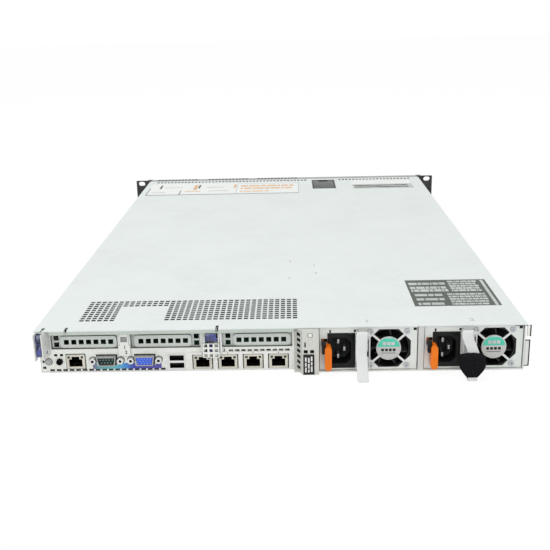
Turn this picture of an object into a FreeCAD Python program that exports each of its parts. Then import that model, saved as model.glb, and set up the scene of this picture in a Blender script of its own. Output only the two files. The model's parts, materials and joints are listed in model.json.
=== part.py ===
import FreeCAD, Part
import math
import os
import Sketcher

# A one-unit rack server: folded steel chassis, sliding top cover with a latch lever, rear connector panel
# with three expansion slots, two slide-in power supplies, a row of fans and four drive carriers in front.
# Millimetres. X points right as seen from the rear, Y from the rear to the front, Z up.
# The origin is under the middle of the whole object.

DIMENSIONS = [
    ("chassis_width", 434.0, "outside width over the cover's side flanges"),
    ("chassis_height", 42.8, "height of the chassis with its cover"),
    ("chassis_depth", 682.0, "cover's rear edge to the face of the front panel"),
    ("front_reach", 24.0, "ear pulls beyond the front panel"),
    ("rear_reach", 26.0, "straps beyond the cover's rear edge"),
    ("sheet_gauge", 1.0, "chassis and cover steel"),
    ("fit_gap", 0.3, "air between sheets that slide on each other"),
    ("running_gap", 0.7, "air on each side of a slide-in unit"),
    ("io_recess", 7.0, "connector panel behind the cover's rear edge"),
    ("rim_depth", 2.0, "turned-in rim round each expansion bay"),
    ("bay_floor", 22.5, "lower edge of the expansion bays"),
    ("bay_ceiling", 38.0, "upper edge of the expansion bays"),
    ("square_vent", 4.5, "square vents of the slot covers"),
    ("slot_vent_pitch", 6.65, "spacing of the slot cover vents"),
    ("cover_set_back", 14.0, "cover's front edge behind the front panel"),
    ("flange_drop", 11.0, "cover's side flanges below the plate"),
    ("lip_drop", 3.2, "cover's rear lip below the plate"),
    ("cover_travel", 12.0, "rearward slide that frees the cover"),
    ("vent_size", 4.0, "cover vents"),
    ("vent_pitch", 5.55, "spacing of the cover vents"),
    ("front_vent_pitch", 5.5, "spacing of the small vents near the cover's front"),
    ("hook_drop", 4.0, "height of the cover hooks' slots in the walls"),
    ("post_reach", 6.0, "rear post beyond the cover's rear edge"),
    ("board_lift", 6.0, "underside of the circuit boards"),
    ("board_gauge", 1.6, "thickness of the circuit boards"),
    ("jack_width", 16.0, "network jack body"),
    ("jack_height", 13.6, "network jack body"),
    ("jack_depth", 21.0, "network jack body"),
    ("jack_mouth", 12.0, "network jack opening"),
    ("cutout_gap", 1.0, "panel cut-outs round a jack, a connector and its screws"),
    ("port_screw", 3.1, "hexagonal connector screw, over its corners"),
    ("shell_width", 17.6, "wide side of a D-shaped connector shell"),
    ("shell_height", 8.9, "height of a D-shaped connector shell"),
    ("screw_spread", 25.0, "spacing of a connector's hex screws"),
    ("button_radius", 2.9, "identification button"),
    ("psu_width", 86.0, "power supply"),
    ("psu_depth", 186.0, "power supply without its contact tongue"),
    ("psu_gauge", 0.8, "power supply steel"),
    ("bay_wall_width", 5.1, "folded channel between the power supplies"),
    ("psu_set_back", 2.0, "power supply face behind the cover's rear edge"),
    ("guard_width", 39.0, "octagonal fan opening"),
    ("guard_height", 36.0, "octagonal fan opening"),
    ("guard_corner", 11.0, "cut corner of the fan opening"),
    ("guard_hub", 22.0, "disc in the middle of the fan opening"),
    ("spoke_width", 2.0, "spokes of the fan opening"),
    ("inlet_width", 24.5, "mains inlet body"),
    ("inlet_height", 33.0, "mains inlet body"),
    ("socket_width", 17.0, "mains inlet cavity"),
    ("socket_height", 24.4, "mains inlet cavity"),
    ("handle_width", 12.0, "pull frame of a power supply"),
    ("handle_reach", 10.5, "pull frame in front of the power supply face"),
    ("strap_width", 9.0, "cable strap"),
    ("strap_gauge", 1.2, "cable strap"),
    ("fan_hub", 9.4, "radius of the fan hubs"),
    ("drive_height", 30.0, "height of a drive carrier"),
    ("ear_span", 482.6, "width over the rack ears"),
    ("ear_gauge", 3.0, "rack ear plate"),
    ("rack_holes_across", 465.1, "rack hole spacing across"),
    ("rack_holes_up", 31.75, "rack hole spacing upwards"),
    ("rack_hole", 6.8, "height of a rack slot"),
    ("rack_slot", 10.3, "length of a rack slot"),
]

doc = FreeCAD.newDocument("rack_server")
sheet = doc.addObject("Spreadsheet::Sheet", "Dims")
for row, (alias, value, meaning) in enumerate(DIMENSIONS, start=1):
    sheet.set(f"A{row}", meaning)
    sheet.set(f"B{row}", str(value))
    sheet.setAlias(f"B{row}", alias)
doc.recompute()


class Size:
    """A length that carries both its number and the sheet formula behind it."""

    def __init__(self, value, text=None):
        self.value = float(value)
        self.text = text or f"({self.value!r})"

    @staticmethod
    def of(thing):
        return thing if isinstance(thing, Size) else Size(thing)

    def __add__(self, other):
        other = Size.of(other)
        return Size(self.value + other.value, f"({self.text} + {other.text})")

    def __sub__(self, other):
        other = Size.of(other)
        return Size(self.value - other.value, f"({self.text} - {other.text})")

    def __mul__(self, factor):
        factor = Size.of(factor)
        return Size(self.value * factor.value, f"({self.text} * {factor.text})")

    def __truediv__(self, divisor):
        divisor = Size.of(divisor)
        return Size(self.value / divisor.value, f"({self.text} / {divisor.text})")

    def __neg__(self):
        return self * -1

    def __rsub__(self, other):
        return Size.of(other) - self

    __radd__ = __add__
    __rmul__ = __mul__


class Named:
    """The driving dimensions by name."""


d = Named()
for alias, value, meaning in DIMENSIONS:
    setattr(d, alias, Size(value, f"Dims.{alias}"))

REAR_EDGE = (d.rear_reach - d.front_reach - d.chassis_depth) / 2
FRONT_FACE = REAR_EDGE + d.chassis_depth


def rear(y):
    """A place along Y counted from the cover's rear edge."""
    return REAR_EDGE + y


def front(y):
    """A place along Y counted from the front panel's face."""
    return FRONT_FACE + y


def span(middle, width):
    """Both ends of a width about its middle."""
    return middle - width * 0.5, middle + width * 0.5


def bind(item, prop, length):
    item.setExpression(prop, Size.of(length).text)


def block(x, y, z):
    """A plain block between its limits along X, Y and Z."""
    solid = doc.addObject("Part::Box", "block")
    for prop, axis, (low, high) in (("Length", "x", x), ("Width", "y", y), ("Height", "z", z)):
        bind(solid, prop, Size.of(high) - low)
        bind(solid, f"Placement.Base.{axis}", low)
    return solid


TURN_TO = {
    "X": FreeCAD.Rotation(FreeCAD.Vector(0, 1, 0), 90),
    "Y": FreeCAD.Rotation(FreeCAD.Vector(1, 0, 0), -90),
    "Z": FreeCAD.Rotation(),
}


def rod(axis, middle, radius, ends):
    """A round bar along X, Y or Z; middle gives the other two coordinates in alphabetical order."""
    solid = doc.addObject("Part::Cylinder", "rod")
    solid.Placement = FreeCAD.Placement(FreeCAD.Vector(), TURN_TO[axis])
    places = dict(zip([name for name in "XYZ" if name != axis], middle))
    places[axis] = ends[0]
    for name, place in places.items():
        bind(solid, f"Placement.Base.{name.lower()}", place)
    bind(solid, "Radius", radius)
    bind(solid, "Height", Size.of(ends[1]) - ends[0])
    return solid


def origin_part(body, role):
    return next(item for item in body.Origin.OriginFeatures if item.Role == role)


def add_sketch(body, plane, start, loops):
    """A fully dimensioned sketch of closed outlines; a loop is a list of points or one circle."""
    sketch = body.newObject("Sketcher::SketchObject", "outline")
    sketch.AttachmentSupport = (origin_part(body, f"{plane}_Plane"), [""])
    sketch.MapMode = "FlatFace"
    bind(sketch, "AttachmentOffset.Base.z", -Size.of(start) if plane == "XZ" else start)
    for loop in loops:
        first = sketch.GeometryCount
        if isinstance(loop, tuple):
            across, up, radius = (Size.of(item) for item in loop)
            centre = FreeCAD.Vector(across.value, up.value, 0)
            sketch.addGeometry(Part.Circle(centre, FreeCAD.Vector(0, 0, 1), radius.value), False)
            pins = [("DistanceX", (-1, 1, first, 3), across), ("DistanceY", (-1, 1, first, 3), up),
                    ("Radius", (first,), radius)]
        else:
            points = [(Size.of(across), Size.of(up)) for across, up in loop]
            corners = [FreeCAD.Vector(across.value, up.value, 0) for across, up in points]
            ends = corners[1:] + corners[:1]
            sketch.addGeometry([Part.LineSegment(a, b) for a, b in zip(corners, ends)], False)
            pins = []
            for index, (across, up) in enumerate(points):
                following = first + (index + 1) % len(points)
                sketch.addConstraint(Sketcher.Constraint("Coincident", first + index, 2, following, 1))
                pins.append(("DistanceX", (-1, 1, first + index, 1), across))
                pins.append(("DistanceY", (-1, 1, first + index, 1), up))
        for kind, ends_at, length in pins:
            number = sketch.addConstraint(Sketcher.Constraint(kind, *ends_at, length.value))
            bind(sketch, f"Constraints[{number}]", length)
    return sketch


def profile(plane, ends, *loops):
    """A sketched outline, with holes after it, padded between two places along the third axis."""
    body = doc.addObject("PartDesign::Body", "profile")
    sketch = add_sketch(body, plane, ends[0], loops)
    pad = body.newObject("PartDesign::Pad", "pad")
    pad.Profile = sketch
    pad.Reversed = plane == "XZ"
    bind(pad, "Length", Size.of(ends[1]) - ends[0])
    sketch.Visibility = False
    doc.recompute([body, sketch, pad])
    return body


def polygon(middle, radius, sides):
    """Corners of an even polygon; with many sides it stands in for a small circle."""
    turns = [math.tau * step / sides for step in range(sides)]
    return [(middle[0] + radius * math.cos(turn), middle[1] + radius * math.sin(turn)) for turn in turns]


def round_edges(body, axis, radius):
    """Round a profile's outer edges that run along one axis."""
    along = {"X": FreeCAD.Vector(1, 0, 0), "Y": FreeCAD.Vector(0, 1, 0), "Z": FreeCAD.Vector(0, 0, 1)}[axis]
    shape = body.Tip.Shape
    chosen = []
    for index, edge in enumerate(shape.Edges, start=1):
        if isinstance(edge.Curve, Part.Line) and abs(edge.Curve.Direction.dot(along)) > 0.999:
            chosen.append(f"Edge{index}")
    fillet = body.newObject("PartDesign::Fillet", "rounding")
    fillet.Base = (body.Tip if body.Tip != fillet else body.Group[-2], chosen)
    bind(fillet, "Radius", radius)
    body.Tip = fillet
    doc.recompute([fillet, body])
    return body


def gather(pieces):
    """Separate solids kept together as one group."""
    group = doc.addObject("Part::Compound", "group")
    group.Links = list(pieces)
    return group


def fuse(*pieces):
    joined = doc.addObject("Part::MultiFuse", "joined")
    joined.Shapes = list(pieces)
    joined.Refine = True
    return joined


def cut(base, *tools):
    result = doc.addObject("Part::Cut", "cut")
    result.Base = base
    result.Tool = tools[0] if len(tools) == 1 else gather(tools)
    return result


NODES = {}


def node(name, item):
    """Give a finished piece its node name."""
    item.Label = name
    NODES[name] = item


GAUGE = d.sheet_gauge
COVER_UNDER = d.chassis_height - GAUGE
COVER_SIDE = d.chassis_width / 2
WALL_OUT = COVER_SIDE - GAUGE - d.fit_gap
WALL_IN = WALL_OUT - GAUGE
WALL_TOP = COVER_UNDER - d.fit_gap
BOARD_TOP = d.board_lift + d.board_gauge

# The supplies stand against the right wall; post and connector panel share the rest of the rear.
PSU_PITCH = d.psu_width + d.running_gap * 2 + d.bay_wall_width
PSU_LEFTS = [WALL_IN - d.running_gap - d.psu_width - PSU_PITCH, WALL_IN - d.running_gap - d.psu_width]
PSU_LOW = GAUGE + 0.4
PSU_TOP = WALL_TOP - 0.5
FAN_SIZE = PSU_TOP - PSU_LOW - d.psu_gauge * 2 - 0.4
FAN_TIP = FAN_SIZE / 2 - 1.8
BAY_END = d.psu_set_back + d.psu_depth + 2
POST_RIGHT = PSU_LEFTS[0] - d.running_gap
POST_LEFT = POST_RIGHT - 20.8
FANS_FROM_REAR = d.chassis_depth - 258


def panel(y):
    """A place along Y counted from the connector panel's outer face."""
    return REAR_EDGE + d.io_recess + y


def across(x):
    """A place along the connector panel, which is 228.7 wide from wall to post; zero is mid-chassis."""
    return (POST_LEFT + WALL_IN) / 228.7 * (x + 214.7) - WALL_IN


def inside(x):
    """A place across the chassis, spread with its inside width of 429.4."""
    return WALL_IN / 214.7 * x


def along(y):
    """A place on the main board, spread between the supplies at 190 and the fans at 424 from the rear."""
    return rear((FANS_FROM_REAR - BAY_END) / 234.0 * (y - 190.0) + BAY_END)


# Expansion slots: limits of each bay, of its cover's raised pan, first vent and the pair of end vents.
SLOTS = [
    dict(bay=(-204.5, -144.5), pan=(-196.5, -145.5), vents=-190.8, pair=-200.3),
    dict(bay=(-133.0, -70.5), pan=(-130.0, -78.5), vents=-123.8, pair=-74.2),
    dict(bay=(-51.5, 11.5), pan=(-41.0, 10.0), vents=-36.1, pair=-46.0),
]
BUTTON_AT = (across(-208.0), 10.8)
INDICATOR_AT = (across(-198.1), 10.8)
MANAGEMENT_AT = (across(-183.5), 10.7)
SERIAL_AT = (across(-155.4), 11.6)
VIDEO_AT = (across(-121.0), 11.6)
USB_AT = (across(-92.3), 9.5)
USB_SIZE = (14.7, 14.2)
NETWORK_AT = [(across(-69.1 + 22.65 * index), 8.7) for index in range(4)]
LEFT_LATCH_PIN = (rear(1.0), 22.5)
MIDDLE_LATCH_PIN = (panel(-3.0), 31.5)
MIDDLE_LATCH = (across(-64.8), across(-55.8))
HOOKS_AT = [80.0, 330.0, 560.0]


# Chassis tray: one folded sheet, with slots for the cover's hooks in both walls. The left wall is drawn out
# behind into a capped pocket for the card latch, the right one turned out into a short return.
tray_sheet = profile(
    "XZ", (rear(0), front(0)),
    [(-WALL_OUT, 0), (WALL_OUT, 0), (WALL_OUT, WALL_TOP), (WALL_IN, WALL_TOP),
     (WALL_IN, GAUGE), (-WALL_IN, GAUGE), (-WALL_IN, WALL_TOP), (-WALL_OUT, WALL_TOP)])
POCKET_FAR = across(-209.5)
POCKET_NEAR = across(-206.0)
latch_wall = block((-WALL_OUT, -WALL_IN), (rear(-8), rear(0)), (17.5, WALL_TOP))
latch_fold = profile(
    "XY", (18.5, WALL_TOP),
    [(POCKET_FAR, rear(-d.post_reach)), (POCKET_FAR + 1.1, rear(-d.post_reach)),
     (POCKET_NEAR + 1.1, panel(0)), (POCKET_NEAR, panel(0))])
latch_cap = profile(
    "XY", (WALL_TOP - GAUGE, WALL_TOP),
    [(-WALL_OUT, rear(0)), (POCKET_FAR + 2.1, rear(0)), (POCKET_NEAR + 0.5, panel(0)), (-WALL_OUT, panel(0))])
rear_return = block((WALL_OUT, WALL_OUT + 5.0), (rear(2), rear(2) + GAUGE),
                    (2.5, COVER_UNDER - d.flange_drop - 3.5))
HOOK_LOW = COVER_UNDER - d.flange_drop + 2
HOOK_HIGH = HOOK_LOW + d.hook_drop
hook_slots = []
for wall in ((-WALL_OUT - 1, 1 - WALL_IN), (WALL_IN - 1, WALL_OUT + 1)):
    for place in HOOKS_AT:
        hook_slots.append(block(wall, (rear(place), rear(place + 10)), (HOOK_LOW, WALL_TOP + 1)))
        reach = (rear(place + 9), rear(place + 10) + d.cover_travel)
        hook_slots.append(block(wall, reach, (HOOK_LOW, HOOK_HIGH)))
floor_notch = block((-WALL_OUT - 1, POST_LEFT - 1.1), (rear(-1), panel(0)), (-1, GAUGE + 1))
wall_notch = block((-WALL_OUT - 1, 1 - WALL_IN), (rear(-1), panel(0)), (-1, 17.5))
latch_pin_hole = rod("X", LEFT_LATCH_PIN, 1.5, (-WALL_OUT - 1, POCKET_NEAR))
tray_folds = fuse(tray_sheet, latch_wall, latch_fold, latch_cap, rear_return)
node("chassis_tray", cut(tray_folds, floor_notch, wall_notch, latch_pin_hole, *hook_slots))


# Rear connector panel: a sheet with three rimmed expansion bays, connector cut-outs and rows of slits.
def d_outline(middle, grow=0.0):
    """Outline of a D-shaped connector shell, wide side up."""
    wide = d.shell_width / 2 + grow
    narrow = wide - 1.4
    half = d.shell_height / 2 + grow
    x, z = middle
    return [(x - wide, z + half), (x - narrow, z - half), (x + narrow, z - half), (x + wide, z + half)]


def jack_limits(middle):
    return span(middle[0], d.jack_width), span(middle[1], d.jack_height)


SEAT = GAUGE + d.rim_depth
THROUGH = (panel(-1), panel(SEAT + 1))
panel_sheet = block((-WALL_IN, POST_LEFT), (panel(0), panel(GAUGE)), (GAUGE, WALL_TOP))
rims = []
panel_cuts = []
for slot in SLOTS:
    left, right = (across(x) for x in slot["bay"])
    rims.append(block((left - 1, right + 1), (panel(GAUGE), panel(SEAT)),
                      (d.bay_floor - 1, d.bay_ceiling + 1)))
    panel_cuts.append(block((left, right), THROUGH, (d.bay_floor, d.bay_ceiling)))
jack_x, jack_z = jack_limits(MANAGEMENT_AT)
usb_x, usb_z = span(USB_AT[0], USB_SIZE[0]), span(USB_AT[1], USB_SIZE[1])
panel_cuts.append(block((jack_x[0] - d.cutout_gap, jack_x[1] + d.cutout_gap), THROUGH,
                        (jack_z[0] - d.cutout_gap / 2, jack_z[1] + d.cutout_gap / 2)))
panel_cuts.append(block(usb_x, THROUGH, usb_z))
panel_cuts.append(block((across(-80.0), across(10.8)), THROUGH, (GAUGE, 17.2)))
panel_cuts.append(block((MIDDLE_LATCH[0] - 0.6, MIDDLE_LATCH[1] + 0.6), THROUGH, (27.5, d.bay_ceiling)))
panel_cuts.append(rod("Y", BUTTON_AT, d.button_radius + 0.4, THROUGH))
panel_cuts.append(rod("Y", INDICATOR_AT, 2.9, THROUGH))
port_screws_at = [(x + d.screw_spread * side, z) for x, z in (SERIAL_AT, VIDEO_AT) for side in (-0.5, 0.5)]
for middle in (SERIAL_AT, VIDEO_AT):
    panel_cuts.append(profile("XZ", THROUGH, d_outline(middle, d.cutout_gap)))
for place in port_screws_at:
    panel_cuts.append(profile("XZ", THROUGH, polygon(place, d.port_screw + d.cutout_gap / 2, 12)))
for x, z in ((-212.4, 10.7), (-212.4, 4.8), (-201.3, 16.9), (-196.1, 16.9)):
    panel_cuts.append(block(span(across(x), 2.8), THROUGH, span(z, 2.2)))
for index in range(18):
    panel_cuts.append(block(span(across(-205.5 + 5.9 * index), 4.2), THROUGH, (GAUGE + 0.3, GAUGE + 2.3)))
for index in range(10):
    panel_cuts.append(block(span(across(-43.4 + 5.6 * index), 3.9), THROUGH, span(19.3, 1.7)))
node("rear_panel", cut(fuse(panel_sheet, *rims), *panel_cuts))


# Slot covers: plates held behind the bays' rims, each with a raised pan of seven square vents
# and a pair of vents at the end where its card would be screwed down.
slot_covers = []
for slot in SLOTS:
    left, right = (across(x) for x in slot["bay"])
    backing = block((left - 1, right + 1), (panel(SEAT), panel(SEAT + GAUGE)),
                    (d.bay_floor - 1, d.bay_ceiling + 1))
    left, right = (across(x) for x in slot["pan"])
    low, high = d.bay_floor + 0.6, d.bay_ceiling - 3.6
    pan = profile("XZ", (panel(SEAT - 1.8), panel(SEAT)),
                  [(left, low), (right, low), (right, high), (left, high)])
    round_edges(pan, "Y", 3.0)
    depth = (panel(SEAT - 3), panel(SEAT + GAUGE + 1))
    middle = (low + high) / 2
    vents = [block(span(across(slot["vents"]) + d.slot_vent_pitch * index, d.square_vent), depth,
                   span(middle, d.square_vent)) for index in range(7)]
    vents += [block(span(across(slot["pair"]), d.square_vent), depth, span(middle + rise, d.square_vent))
              for rise in (-2.9, 3.4)]
    slot_covers.append(cut(fuse(backing, pan), *vents))
node("slot_covers", gather(slot_covers))


# Rear post: folded sheet between the connectors and the power supplies, with a slanted, vented cheek.
POST_FACE = rear(-d.post_reach)
POST_BEND = POST_LEFT + 6.0
post_sheet = profile(
    "XY", (GAUGE, WALL_TOP),
    [(POST_LEFT - 1.1, panel(0)), (POST_BEND, POST_FACE), (POST_RIGHT, POST_FACE), (POST_RIGHT, panel(5)),
     (POST_RIGHT - GAUGE, panel(5)), (POST_RIGHT - GAUGE, POST_FACE + GAUGE),
     (POST_BEND + 0.6, POST_FACE + GAUGE),
     (POST_LEFT, panel(0))])
post_lid = profile(
    "XY", (WALL_TOP - GAUGE, WALL_TOP),
    [(POST_LEFT - 1.1, panel(0)), (POST_BEND, POST_FACE), (POST_RIGHT, POST_FACE), (POST_RIGHT, panel(0))])
cheek_vents = [block((POST_LEFT - 2, POST_BEND), (POST_FACE + 3.0, POST_FACE + 10.0),
                     span(5.2 + 5.2 * index, 3.4)) for index in range(7)]
post_foot = block((POST_BEND, POST_RIGHT), (POST_FACE, POST_FACE + GAUGE), (0, GAUGE))
FACE_DEPTH = (POST_FACE - 1, POST_FACE + GAUGE + 0.5)
face_vents = [
    block((POST_BEND + 5.0, POST_BEND + 9.2), FACE_DEPTH, (35.6, 39.4)),
    rod("Y", (POST_BEND + 7.2, 31.6), 1.7, FACE_DEPTH),
    block((POST_BEND + 2.0, POST_BEND + 3.2), FACE_DEPTH, (26.2, 31.0)),
    block((POST_BEND + 1.4, POST_BEND + 4.9), FACE_DEPTH, (20.6, 23.7)),
    block((POST_BEND + 7.0, POST_BEND + 10.5), FACE_DEPTH, (20.6, 23.7)),
]
node("rear_post", cut(fuse(post_sheet, post_lid, post_foot), *cheek_vents, *face_vents))


# Walls of the power supply bays: one beside the post and a folded channel between the two supplies.
left_wall = block((POST_RIGHT - GAUGE, POST_RIGHT), (panel(5), rear(BAY_END)), (GAUGE, WALL_TOP))
channel_left = PSU_LEFTS[0] + d.psu_width + d.running_gap
channel_right = PSU_LEFTS[1] - d.running_gap
channel = profile(
    "XY", (GAUGE, WALL_TOP),
    [(channel_left, rear(0)), (channel_right, rear(0)), (channel_right, rear(BAY_END)),
     (channel_right - GAUGE, rear(BAY_END)), (channel_right - GAUGE, rear(GAUGE)),
     (channel_left + GAUGE, rear(GAUGE)), (channel_left + GAUGE, rear(BAY_END)),
     (channel_left, rear(BAY_END))])
node("psu_bay_walls", gather([left_wall, channel]))


# Card latches: hinged plastic levers that clamp the expansion cards, on pins along X.
def card_latch(x, pin, outline, pin_ends):
    """Lever whose outline is given from its pin, along Y and up."""
    lever = profile("YZ", x, [(pin[0] + y, pin[1] + z) for y, z in outline])
    return fuse(lever, rod("X", pin, 1.2, pin_ends))


LATCH_RISE = WALL_TOP - GAUGE - 0.7 - LEFT_LATCH_PIN[1]
node("card_latch_left", card_latch(
    (POCKET_FAR - 4.7, POCKET_FAR - 0.7), LEFT_LATCH_PIN,
    [(-5.5, -2.5), (2.0, -2.5), (3.0, 9.0), (1.4, LATCH_RISE - 0.4), (-3.2, LATCH_RISE),
     (-6.6, LATCH_RISE - 2.4), (-6.2, LATCH_RISE - 5.4), (-3.2, LATCH_RISE - 7.4), (-3.2, LATCH_RISE - 9.6),
     (-6.4, 4.6), (-6.6, 1.0)],
    (-WALL_IN - 0.6, POCKET_NEAR - 0.5)))
node("card_latch_middle", card_latch(
    MIDDLE_LATCH, MIDDLE_LATCH_PIN,
    [(-2.4, -1.4), (1.6, -1.4), (1.6, 3.0), (-0.8, 6.2), (-4.8, 6.6), (-6.0, 5.4), (-3.0, 3.2)],
    (MIDDLE_LATCH[0] - 1.8, MIDDLE_LATCH[1] + 2.0)))


# Middle latch bracket: perforated sheet standing in front of the panel, with two cheeks for the pin.
BRACKET = (MIDDLE_LATCH[0] - 3.2, MIDDLE_LATCH[1] + 2.6)
CHEEKS = ((MIDDLE_LATCH[0] - 2.1, MIDDLE_LATCH[0] - 2.1 + GAUGE), (BRACKET[1] - GAUGE, BRACKET[1]))
BRACKET_FACE = panel(-6.2)
bracket_sheet = block(BRACKET, (BRACKET_FACE, BRACKET_FACE + GAUGE), (15.0, 28.6))
cheeks = [profile("YZ", cheek, [(BRACKET_FACE + GAUGE, 18.0), (panel(0), 18.0), (panel(0), 37.5),
                                (panel(-1.5), 37.5), (BRACKET_FACE + GAUGE, 31.5)]) for cheek in CHEEKS]
pin_holes = [rod("X", MIDDLE_LATCH_PIN, 1.5, (cheek[0] - 1, cheek[1] + 1)) for cheek in CHEEKS]
grid = [block(span(BRACKET[0] + 2.6 + 4.8 * column, 3.0), (BRACKET_FACE - 1, BRACKET_FACE + GAUGE + 1),
              span(17.2 + 4.6 * line, 2.8)) for column in range(3) for line in range(3)]
node("card_latch_bracket", cut(fuse(bracket_sheet, *cheeks), *pin_holes, *grid))


# Connectors of the rear panel, let into notches of the boards.
JACK_FACE = -0.8


def network_jack(middle):
    """Metal jack body with a stepped opening that leaves room for the plug's clip."""
    x, z = jack_limits(middle)
    body = block(x, (panel(JACK_FACE), panel(JACK_FACE + d.jack_depth)), z)
    room = (panel(JACK_FACE - 1), panel(JACK_FACE + d.jack_depth - 7))
    mouth = block(span(middle[0], d.jack_mouth), room, (middle[1] - 4.7, middle[1] + 2.4))
    clip = block(span(middle[0], d.jack_mouth - 5), room, (middle[1] + 2, middle[1] + 4.9))
    return cut(body, mouth, clip)


node("network_jacks", gather([network_jack(middle) for middle in [MANAGEMENT_AT, *NETWORK_AT]]))

CONNECTOR_FLANGE = (d.screw_spread + 5.8, 12.5)
CONNECTOR_BACK = (28.0, 11.0)


def d_connector(middle, pins_out):
    """Board connector with a flange behind the panel and a D-shaped shell through it."""
    x, z = middle
    flange = block(span(x, CONNECTOR_FLANGE[0]), (panel(GAUGE), panel(GAUGE + 1.2)),
                   span(z, CONNECTOR_FLANGE[1]))
    back = block(span(x, CONNECTOR_BACK[0]), (panel(GAUGE + 1.2), panel(17)), span(z, CONNECTOR_BACK[1]))
    shell = profile("XZ", (panel(-4.6), panel(GAUGE)), d_outline(middle), d_outline(middle, -0.9))
    filling = profile("XZ", (panel(0 if pins_out else -3.8), panel(GAUGE)), d_outline(middle, -0.8))
    contacts = []
    rows = ((5, 1.4), (4, -1.4)) if pins_out else ((5, 2.0), (5, 0.0), (5, -2.0))
    depth = (panel(-3.8), panel(0.5)) if pins_out else (panel(-4.8), panel(-1.5))
    for count, height in rows:
        for index in range(count):
            offset = (index - (count - 1) / 2) * 2.75
            contacts.append(block(span(x + offset, 0.9), depth, span(z + height, 0.9)))
    body = [flange, back, shell, filling]
    return fuse(*body, *contacts) if pins_out else cut(fuse(*body), *contacts)


node("serial_port", d_connector(SERIAL_AT, True))
node("video_port", d_connector(VIDEO_AT, False))


port_screws = [profile("XZ", (panel(-4.2), panel(GAUGE)), polygon(place, d.port_screw, 6),
                       polygon(place, 1.45, 12)) for place in port_screws_at]
node("port_screws", gather(port_screws))

usb_body = block(usb_x, (panel(-1.4), panel(16)), usb_z)
usb_mouths = [block(span(USB_AT[0], 12.9), (panel(-3), panel(10)), span(USB_AT[1] + rise, 5.2))
              for rise in (-3.6, 3.6)]
usb_tongues = [block(span(USB_AT[0], 11.4), (panel(-0.4), panel(10)), span(USB_AT[1] + rise + 0.9, 1.9))
               for rise in (-3.6, 3.6)]
node("usb_ports", fuse(cut(usb_body, *usb_mouths), *usb_tongues))

indicator = fuse(rod("Y", INDICATOR_AT, 2.8, (panel(-2.4), panel(GAUGE))),
                 block(span(INDICATOR_AT[0], 7), (panel(GAUGE), panel(13)), (BOARD_TOP, 14.4)))
node("indicator_jack", cut(indicator, rod("Y", INDICATOR_AT, 1.7, (panel(-3), panel(7)))))

# Identification button: pushed in towards a switch on the main board.
node("id_button", rod("Y", BUTTON_AT, d.button_radius, (panel(-2.2), panel(6))))


# Main board: circuit board round the supplies and the network card, on hexagonal spacers, with its soldered
# sockets: two processor sockets, twenty-four memory sockets, the button's switch and the supplies' sockets.
def spacer(x, y):
    """Spacer that carries a board on the tray's floor."""
    return profile("XY", (GAUGE, d.board_lift), polygon((x, y), 2.8, 6))


BOARD_DEPTH = (d.board_lift - 1, BOARD_TOP + 1)
BOARD_START = panel(2)
BOARD_SIDE = WALL_IN - 1.7
board = profile(
    "XY", (d.board_lift, BOARD_TOP),
    [(-BOARD_SIDE, BOARD_START), (POST_RIGHT - 2.8, BOARD_START), (POST_RIGHT - 2.8, along(191)),
     (BOARD_SIDE, along(191)), (BOARD_SIDE, along(400)), (-BOARD_SIDE, along(400))])
CARD_X = (across(-83.0), across(13.0))
notches = [
    block(jack_x, (panel(1), panel(JACK_FACE + d.jack_depth)), BOARD_DEPTH),
    block(usb_x, (panel(1), panel(16)), BOARD_DEPTH),
    block(CARD_X, (panel(1), panel(90)), BOARD_DEPTH),
    block(span(BUTTON_AT[0], 8), (panel(1), panel(7.2)), BOARD_DEPTH),
]
for x, z in (SERIAL_AT, VIDEO_AT):
    notches.append(block(span(x, CONNECTOR_FLANGE[0]), (panel(1), panel(GAUGE + 1.2)), BOARD_DEPTH))
    notches.append(block(span(x, CONNECTOR_BACK[0]), (panel(1), panel(17)), BOARD_DEPTH))

MEMORY_TOP = WALL_TOP - 3.5
MEMORY_X = [inside(first + 9.0 * index) for first in (-200.0, -60.0, 15.0, 155.0) for index in range(6)]
PROCESSORS_X = [inside(-107.0), inside(107.0)]
SOCKET_TOP = 13.0
sockets = [block(span(x, 58), (along(272), along(330)), (BOARD_TOP, SOCKET_TOP)) for x in PROCESSORS_X]
sockets += [block(span(x, 6), (along(233), along(372.4)), (BOARD_TOP, 14)) for x in MEMORY_X]
sockets.append(block(span(BUTTON_AT[0], 6), (panel(7.6), panel(13)), (BOARD_TOP, 14)))
TONGUE_Z = (16.0, 17.6)
slits = [block(span(x, 1.4), (along(236), along(369.4)), (11, 15)) for x in MEMORY_X]
for left in PSU_LEFTS:
    middle = left + d.psu_width / 2
    sockets.append(block(span(middle, 70), (along(191), along(202)), (BOARD_TOP, 24)))
    slits.append(block(span(middle, 63.4), (along(190), along(199)), (TONGUE_Z[0] - 0.5, TONGUE_Z[1] + 0.5)))
spacers = [spacer(across(x), rear(y))
           for x, y in ((-200, 60), (-200, 160), (-100, 60), (-100, 160), (0, 150))]
spacers += [spacer(inside(x), along(y)) for x in (-204, 0, 204) for y in (222, 384)]
node("main_board", cut(fuse(cut(board, *notches), *sockets, *spacers), *slits))
modules = [block(span(x, 1.4), (along(236), along(369.4)), (11, MEMORY_TOP)) for x in MEMORY_X]
node("memory_modules", gather(modules))

# Network card: its own board beside the main one, notched for the four jacks.
card = block((CARD_X[0] + 1, CARD_X[1] - 1), (BOARD_START, panel(88)), (d.board_lift, BOARD_TOP))
card_notches = [block(jack_limits(middle)[0], (panel(1), panel(JACK_FACE + d.jack_depth)), BOARD_DEPTH)
                for middle in NETWORK_AT]
card_spacers = [spacer(across(x), rear(60)) for x in (-74, 4)]
node("network_card", cut(fuse(card, *card_spacers), *card_notches))

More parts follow.
